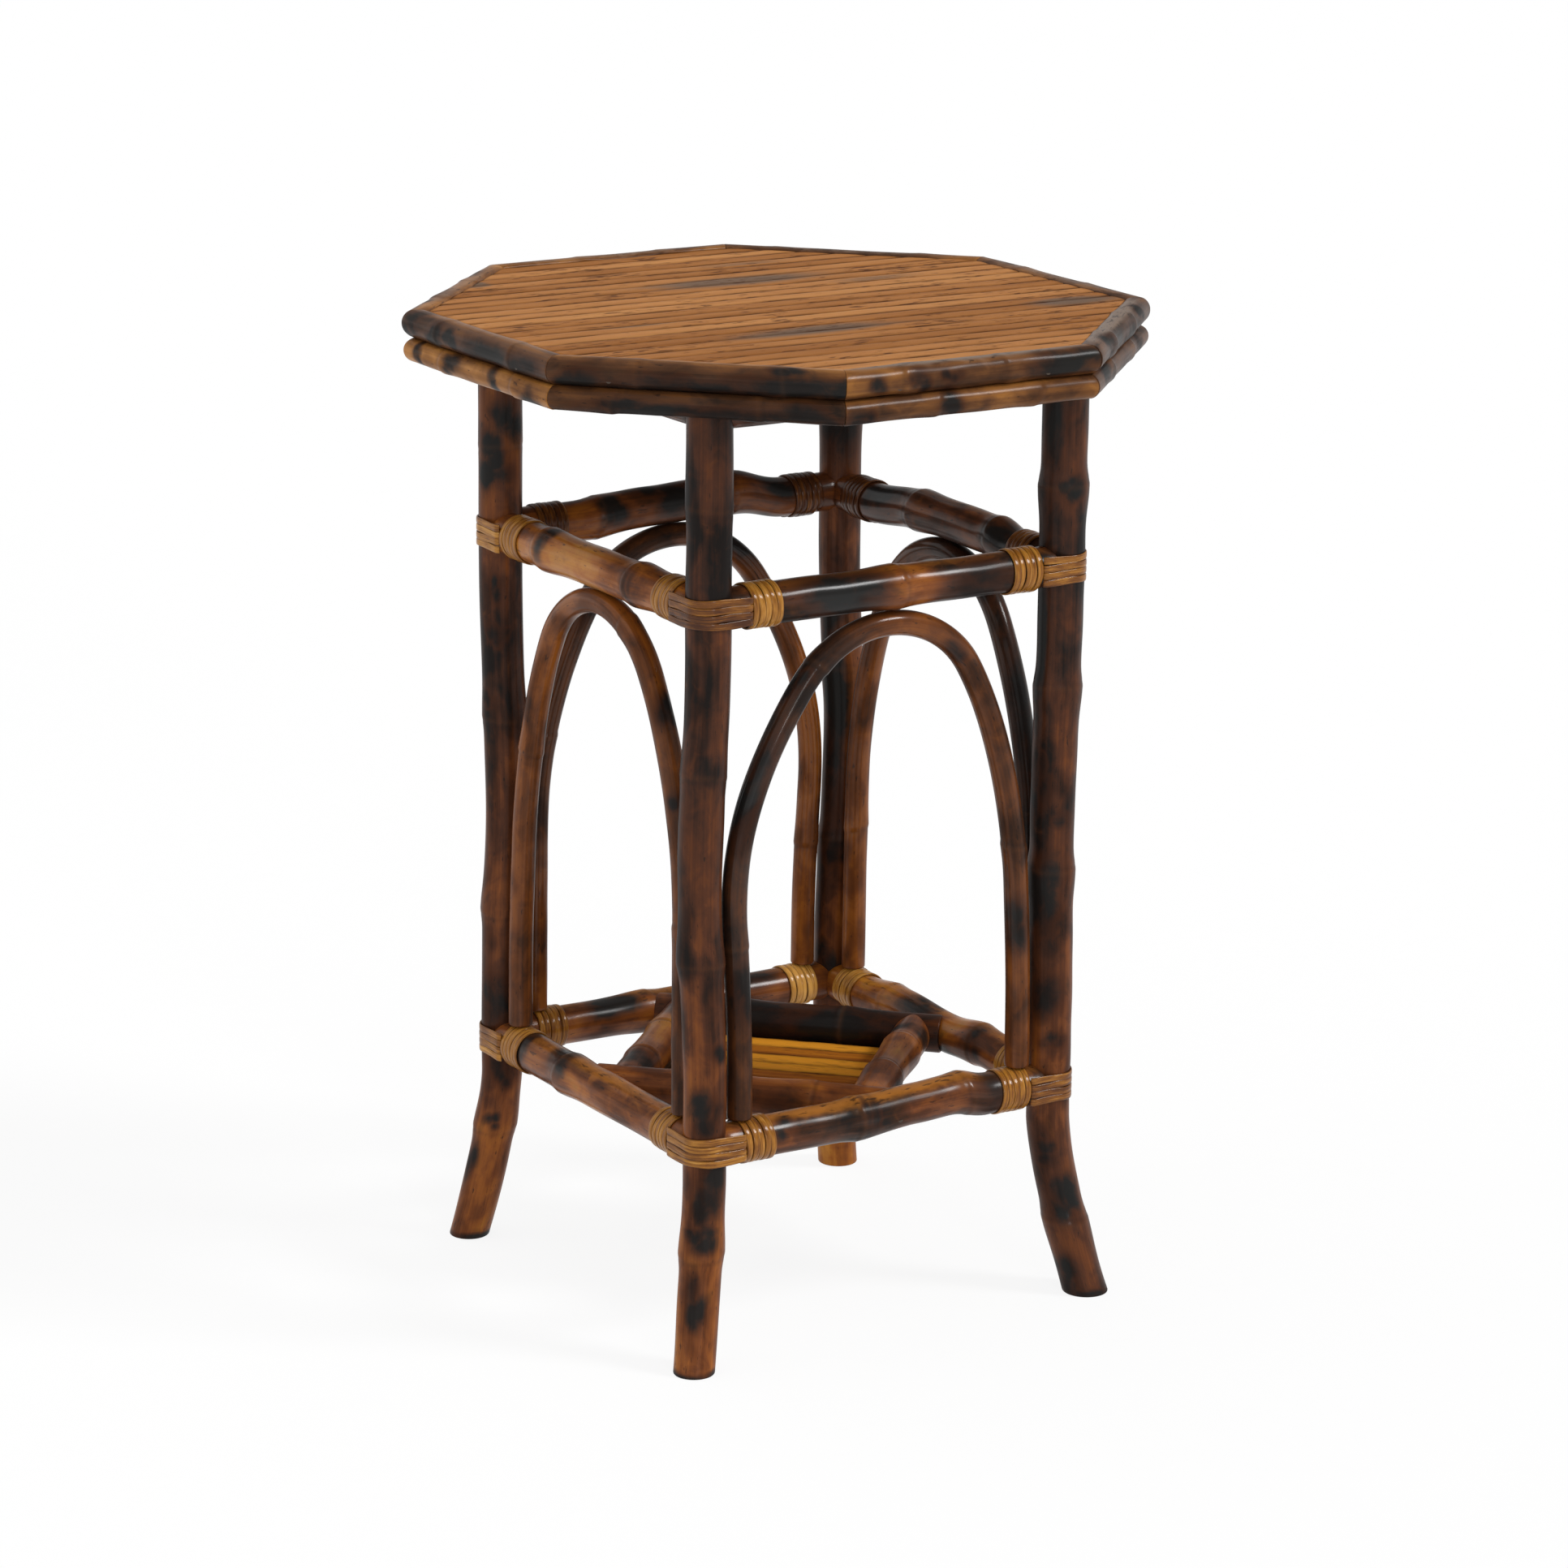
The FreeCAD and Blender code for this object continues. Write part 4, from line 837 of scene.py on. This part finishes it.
shelf_slat = split_slat("shelf_slat", (
    (0.0, (0.15, 0.038, 0.007)), (1.0, (0.72, 0.29, 0.024)), (0.35, (0.31, 0.088, 0.01)),
    (0.7, (0.52, 0.185, 0.014))), (0.05, 0.02, 0.01), 0.35)
strands = []
pitch = 2 * SHELF_CLEAR / len(SHELF_TINTS)
for strip, tint in enumerate(SHELF_TINTS):
    seed += 1
    middle = pitch * (strip - (len(SHELF_TINTS) - 1) / 2)
    rings, fields = slat_rings(
        pitch - SHELF_SLAT_GAP, SHELF_SLAT_THICKNESS, SHELF_BOARD_TOP, middle,
        lambda y: np.full_like(y, SHELF_CLEAR), 40, seed)
    fields["tint"] = np.full(rings.shape[:2], tint)
    fields["smoke"] = np.zeros(rings.shape[:2])
    strands.append((rings, fields))
lay(strands, "shelf_slat_floor", "shelf_slats", shelf_slat, -45)

# The boards under the shelf and the top are plain stained plywood, cut to the outline of what lies on them.
# Only their undersides show.
def stained_plywood():
    """Dark stained plywood: long grain along X in bands and pores, on the piece's own coordinates."""
    finish = Finish(bpy.data.materials.new("stained_plywood"))
    place = finish.node("ShaderNodeTexCoord", {}, {}, "Object")
    band = finish.noise(place, (4.0, 45.0, 45.0), 4.0, 0.6, 1.2)
    pore = finish.noise(place, (60.0, 1800.0, 1800.0), 2.0, 0.6)
    colour = finish.ramp(band + 0.3 * (pore - 0.5), (
        (0.25, (0.06, 0.028, 0.013)), (0.8, (0.155, 0.075, 0.034)), (0.5, (0.098, 0.046, 0.021))))
    finish.bump(pore + 0.4 * band, 0.00012)
    return finish.lacquer(colour, 0.55 + 0.3 * (pore - 0.5), 0.3, 0.0, 0.1)


def refinish(nodes, finish):
    """Gives a finish to CAD nodes that stay as they are."""
    for node in nodes:
        materials = bpy.data.objects[node].data.materials
        materials.clear()
        materials.append(finish)


refinish(("top_board", "shelf_board"), stained_plywood())

# The top is faced with twenty-four slats of split rattan, glued side by side on the board with their skin up.
# They are lighter than the frame, nicked along the grain, and smoked here and there by the torch; the grey
# smoky patches are partly painted sheen.
BOARD_APOTHEM = 0.211655
SLAT_COUNT = 24
SLAT_THICKNESS = 0.005
SLAT_GAP = 0.0005
BOARD_TOP = 0.652
# Smoky patches, partly painted sheen: middle, half length and half width, and strength
TOP_SMOKE_AND_SHEEN = (
    (0.024, 0.094, 0.075, 0.017, 1.1), (-0.033, -0.087, 0.08, 0.014, 1.0),
    (0.177, -0.075, 0.04, 0.014, 1.1), (-0.138, 0.163, 0.013, 0.01, 1.3),
    (0.11, 0.06, 0.05, 0.009, 0.7), (-0.12, -0.02, 0.04, 0.008, 0.55),
    (0.06, 0.15, 0.05, 0.008, 0.6), (-0.08, 0.12, 0.03, 0.008, 0.5),
)


def octagon_reach(y):
    """How far a slat at y runs each way: to the flat, or to the slanting edge.

    On the slanting edge x + |y| is the apothem times the root of 2.
    """
    return np.minimum(BOARD_APOTHEM, BOARD_APOTHEM * math.sqrt(2) - np.abs(y)) - 0.0001


# The grey smoke colour is partly painted sheen
top_slat = split_slat("top_slat", (
    (0.0, (0.19, 0.062, 0.014)), (1.0, (0.6, 0.285, 0.092)), (0.4, (0.34, 0.13, 0.032)),
    (0.7, (0.46, 0.195, 0.06))), (0.12, 0.092, 0.07), 0.8)
chance = np.random.default_rng(5)
strands = []
pitch = 2 * BOARD_APOTHEM / SLAT_COUNT
for strip in range(SLAT_COUNT):
    seed += 1
    middle = pitch * (strip - (SLAT_COUNT - 1) / 2)
    rings, fields = slat_rings(pitch - SLAT_GAP, SLAT_THICKNESS, BOARD_TOP, middle, octagon_reach, 120, seed)
    fields["tint"] = np.full(rings.shape[:2], 0.55 + chance.uniform(-0.2, 0.2))
    # Smoky patches, partly painted sheen, as a field over the slats
    smoke = np.zeros(rings.shape[:2])
    for x, y, long, wide, strength in TOP_SMOKE_AND_SHEEN:
        near = np.exp(-((rings[..., 0] - x) / long) ** 2 - ((rings[..., 1] - y) / wide) ** 2)
        smoke = np.maximum(smoke, strength * near)
    fields["smoke"] = smoke
    strands.append((rings, fields))
lay(strands, "top_slat_face", "top_slats", top_slat)

# The edge of the top is two rings of eight mitred canes: a thicker one glued and nailed round the board, with
# a flat against it, and a thinner one nailed under it. Both are scorched darker than the slats.
EDGES = ("front", "front_right", "right", "back_right", "back", "back_left", "left", "front_left")
# Each ring's radius, distance from the middle, height, inner flat and flat top, or a metre where it has none
RIM_RINGS = {
    "top_rim": (0.0095, 0.21774, 0.64974, 0.005985, 1.0),
    "under_rim": (0.008, 0.21836, 0.63238, 1.0, 0.6402),
}
RIM_SIDES = 40
RIM_SWELL = 0.075
RIM_EASE = 0.0006
MITRE = math.tan(math.radians(22.5))
MITRE_GAP = 0.00012
# The height above which a rim cane's crown is worn flat, and the room that is left for it
CROWN_START = 0.6565
CROWN_ROOM = 0.0025
# Warmth of the colour at the start, the middle and the end of each cane
RIM_WARMTH = {
    "top_rim": {
        "front": (0.52, 0.5, 0.34), "front_right": (0.28, 0.32, 0.28), "right": (0.2, 0.3, 0.2),
        "back_right": (0.3, 0.2, 0.3), "back": (0.2, 0.35, 0.2), "back_left": (0.4, 0.3, 0.4),
        "left": (0.32, 0.34, 0.3), "front_left": (0.3, 0.25, 0.3),
    },
    "under_rim": {
        "front": (0.45, 0.5, 0.65), "front_right": (0.35, 0.3, 0.35), "right": (0.3, 0.4, 0.3),
        "back_right": (0.3, 0.2, 0.3), "back": (0.2, 0.35, 0.2), "back_left": (0.4, 0.3, 0.4),
        "left": (0.88, 0.8, 0.84), "front_left": (0.45, 0.28, 0.32),
    },
}
# How much warmer the upper ring's crown is than its face, from wear and painted top light, and how grey dust,
# wear and painted sheen have made it
WORN_LIT_CROWN_AND_DUSTY_SHEEN = {
    "front": (0.2, 0.95), "front_right": (0.1, 1.1), "right": (0.3, 0.4), "back_right": (0.3, 0.35),
    "back": (0.4, 0.4), "back_left": (0.4, 0.35), "left": (0.2, 0.2), "front_left": (0.5, 0.0),
}
# Angle and spread of the crown's extra warmth, which is wear and painted top light
WORN_LIT_CROWN_ANGLE = 75.0
WORN_LIT_CROWN_SPREAD = 50.0
# Angle of the grey dust on the rims' tops, which is partly painted sheen
DUST_AND_SHEEN_ANGLE = 85.0
# Burnt patches: share of the length, angle from the inner side over the top, half length, half width
RIM_BURNS = {
    "top_rim": {
        "front": (
            (0.13, 195, 0.007, 45), (0.28, 190, 0.008, 45), (0.41, 200, 0.008, 50), (0.88, 165, 0.026, 60),
        ),
        "left": (
            (0.05, 180, 0.01, 70), (0.22, 195, 0.01, 60), (0.34, 170, 0.008, 40), (0.55, 215, 0.03, 50),
            (0.85, 225, 0.02, 60),
        ),
        "front_left": (
            (0.08, 225, 0.014, 60), (0.3, 225, 0.04, 55), (0.55, 230, 0.04, 50), (0.85, 220, 0.04, 55),
            (0.8, 130, 0.01, 30),
        ),
    },
    "under_rim": {
        "front": ((0.41, 180, 0.009, 80), (0.06, 230, 0.01, 60)),
        "left": (
            (0.1, 180, 0.004, 90), (0.32, 190, 0.012, 60), (0.62, 170, 0.005, 80), (0.88, 200, 0.01, 60),
        ),
        "front_left": ((0.25, 215, 0.04, 60), (0.6, 225, 0.05, 55), (0.88, 215, 0.02, 60)),
    },
}
PLAIN_BURNS = ((0.2, 170, 0.014, 60), (0.55, 210, 0.018, 60), (0.82, 150, 0.01, 50))


def pressed(z, start, room):
    """Heights above a start pressed into a little room: start + room x tanh((z - start) / room)."""
    return np.where(z > start, start + room * np.tanh((z - start) / room), z)


def mitred_cane(radius, apothem, height, inner, top, shares, seed):
    """A straight cane on the front edge of the octagon, cut to a mitre at both ends.

    Each line of its skin runs from mitre to mitre: its half length is its distance from the table's middle
    times the tangent of half a corner. The skin is flat where it passes an inner line or a top level.
    """
    length = 2 * (apothem + radius) * MITRE
    knuckles = [share * length for share in shares]
    places = cane_places(length, knuckles, 0.003, RIM_EASE)
    girth, fields = cane_girth(places, RIM_SIDES, radius, knuckles, RIM_SWELL, seed, 0.02, 0.4, RIM_EASE)
    angles = spokes(RIM_SIDES)
    y = np.minimum(girth * np.cos(angles), inner) - apothem
    z = np.minimum(height + girth * np.sin(angles), top)
    share = 2 * places / length - 1
    x = share[:, None] * (-y * MITRE - MITRE_GAP)
    return places, girth, np.stack([x, y, pressed(z, CROWN_START, CROWN_ROOM)], axis=-1), fields


# Its worn colour is grey dust with painted sheen on the tops
rim_rattan = scorched_cane(
    "rim_rattan",
    ((0.0, (0.013, 0.0092, 0.007)), (1.0, (0.46, 0.2, 0.048)), (0.2, (0.036, 0.0165, 0.0085)),
     (0.4, (0.082, 0.033, 0.013)), (0.6, (0.165, 0.064, 0.0175)), (0.8, (0.29, 0.118, 0.026))),
    0.45, 0.14, 0.2, (0.2, 0.142, 0.106))
angles = np.degrees(spokes(RIM_SIDES))
# The crown's extra warmth round the cane, wear and painted top light
worn_lit_crown_field = np.exp(-((angles - WORN_LIT_CROWN_ANGLE) / WORN_LIT_CROWN_SPREAD) ** 2)
for number, edge in enumerate(EDGES):
    shares = np.array([0.24 + 0.05 * (number % 3), 0.64 + 0.05 * (number % 4)])
    # The crown's warmth is wear and painted top light; the grey dust on top is dust and painted sheen
    crown, dust_and_sheen = WORN_LIT_CROWN_AND_DUSTY_SHEEN[edge]
    for ring in RIM_RINGS:
        seed += 1
        places, girth, rings, fields = mitred_cane(*RIM_RINGS[ring], shares, seed)
        warmth = tuple(zip((0, 0.5, 1), RIM_WARMTH[ring][edge]))
        burns = RIM_BURNS[ring].get(edge, PLAIN_BURNS)
        # painted sheen: on the rims the worn field is grey dust with painted sheen on the top
        fields.update(cane_fields(places, girth, warmth, burns, seed, places[-1], (DUST_AND_SHEEN_ANGLE, dust_and_sheen)))
        # painted top light: the crown's extra warmth, with wear, is added to the upper ring's warmth
        fields["warmth"] = fields["warmth"] + crown * worn_lit_crown_field
        name = ring + "_cane_" + edge
        lay([(rings, fields)], name, ring + "_" + edge, rim_rattan, 45 * number)
        shares = 1 - shares
        crown, dust_and_sheen = 0.0, 0.0

# The screws and brads are steel, browned by age and the table's lacquer. Their heads are sunk into the canes
# and boards, so little of them ever shows.
def plain_steel():
    """Steel browned with age and lacquer, with fine scratches and faint blotches."""
    finish = Finish(bpy.data.materials.new("plain_steel"))
    place = finish.node("ShaderNodeTexCoord", {}, {}, "Object")
    blotch = finish.noise(place, (300.0, 300.0, 300.0), 3.0, 0.6)
    scratch = finish.noise(place, (3000.0, 300.0, 3000.0), 2.0, 0.6)
    colour = finish.blend(blotch, (0.055, 0.042, 0.034), (0.12, 0.095, 0.078))
    finish.bump(scratch, 0.00004)
    finish.shader.inputs["Metallic"].default_value = 1.0
    return finish.lacquer(colour, 0.5 + 0.3 * (scratch - 0.5), 0.5, 0.0, 0.1)


refinish((
    "top_screws", "frame_screws", "crown_brads", "rim_brads", "under_rim_brads", "shelf_brads",
    "shelf_board_brads"), plain_steel())

# The studio is a plain white floor that keeps the table's soft shadow, a white surround, one soft lamp above
# and to the right, and three weaker ones. The camera stands in front and to the left, a little above the top.
FLOOR_REACH = 30
floor_mesh = bpy.data.meshes.new("studio_floor")
floor_corners = [(x * FLOOR_REACH, y * FLOOR_REACH, 0) for x, y in LEG_SIGNS.values()]
floor_mesh.from_pydata(floor_corners, [], [(0, 1, 2, 3)])
floor = bpy.data.objects.new("studio_floor", floor_mesh)
bpy.context.scene.collection.objects.link(floor)
paper = Finish(bpy.data.materials.new("studio_paper"))
speck = paper.noise(paper.node("ShaderNodeTexCoord", {}, {}, "Object"), (40.0, 40.0, 40.0), 3.0)
paper.join(paper.shader.inputs["Base Color"], paper.blend(speck, (0.8, 0.8, 0.8), (0.84, 0.84, 0.84)))
paper.shader.inputs["Roughness"].default_value = 0.9
paper.shader.inputs["Specular IOR Level"].default_value = 0.0


def seen(finish):
    """One for what the camera sees, straight, in a gloss or through glass, and none for light on things."""
    kinds = ("Is Camera Ray", "Is Glossy Ray", "Is Transmission Ray")
    straight, gloss, through = [finish.node("ShaderNodeLightPath", {}, {}, kind) for kind in kinds]
    settings = {"operation": "ADD", "use_clamp": True}
    return finish.node("ShaderNodeMath", settings, {0: straight + gloss, 1: through})


glow = paper.node("ShaderNodeEmission", {}, {"Color": (1.0, 1.0, 1.0, 1.0), "Strength": 1.03})
lit = Wire(paper, paper.shader.outputs[0])
shown = paper.node("ShaderNodeMixShader", {}, {0: 0.85 * seen(paper), 1: lit, 2: glow})
paper.join(paper.tree.nodes["Material Output"].inputs["Surface"], shown)
floor_mesh.materials.append(paper.owner)

surround = bpy.data.worlds.new("studio_surround")
bpy.context.scene.world = surround
sky = Finish(surround)
heading = sky.node("ShaderNodeTexCoord", {}, {}, "Generated")
height = sky.node("ShaderNodeSeparateXYZ", {}, {0: heading}, "Z")
backdrop = sky.tree.nodes["Background"]
backdrop.inputs["Color"].default_value = (1.0, 1.0, 1.0, 1.0)
sky.join(backdrop.inputs["Strength"], 1.0 - 0.68 * sky.step(height, 0.02, 0.32))


def facing(back, roll=0.0):
    """A turn whose columns are right, up and back, where right is upright x back, and then a roll."""
    back = np.array(back, dtype=float) / np.linalg.norm(back)
    right = np.cross(UPWARD, back)
    right = right / np.linalg.norm(right)
    above = np.cross(back, right)
    turned = np.eye(4)
    turned[:3, 0] = math.cos(roll) * right + math.sin(roll) * above
    turned[:3, 1] = math.cos(roll) * above - math.sin(roll) * right
    turned[:3, 2] = back
    return turned


def soft_lamp(name, heading, spread, strength):
    """A soft lamp far away: light from a heading, spread over an angle in degrees."""
    lamp = bpy.data.lights.new(name, "SUN")
    lamp.angle = math.radians(spread)
    lamp.energy = strength
    holder = bpy.data.objects.new(name, lamp)
    holder.matrix_world = Matrix(facing(heading).tolist())
    bpy.context.scene.collection.objects.link(holder)


soft_lamp("key_lamp", (0.51, -0.5, 0.67), 15.0, 1.7)
soft_lamp("front_lamp", (-0.14, -0.95, 0.27), 12.0, 0.45)
soft_lamp("fill_lamp", (-0.75, -0.45, 0.6), 100.0, 0.75)
soft_lamp("back_lamp", (-0.4, 0.65, 0.65), 80.0, 0.6)

AZIMUTH = math.radians(-31.98)
ELEVATION = math.radians(15.17)
ROLL = math.radians(0.641)
DISTANCE = 3.456
AIM_HEIGHT = 0.336
level = math.cos(ELEVATION)
back = (math.sin(AZIMUTH) * level, -math.cos(AZIMUTH) * level, math.sin(ELEVATION))
pose = facing(back, ROLL)
pose[:3, 3] = DISTANCE * pose[:3, 2] + (0.0, 0.0, AIM_HEIGHT)
lens = bpy.data.cameras.new("camera")
lens.sensor_width = 36.0
lens.lens = 119.6
lens.shift_x = 0.0057
camera = bpy.data.objects.new("camera", lens)
camera.matrix_world = Matrix(pose.tolist())
bpy.context.scene.collection.objects.link(camera)
bpy.context.scene.camera = camera
bpy.context.scene.view_settings.view_transform = "Standard"
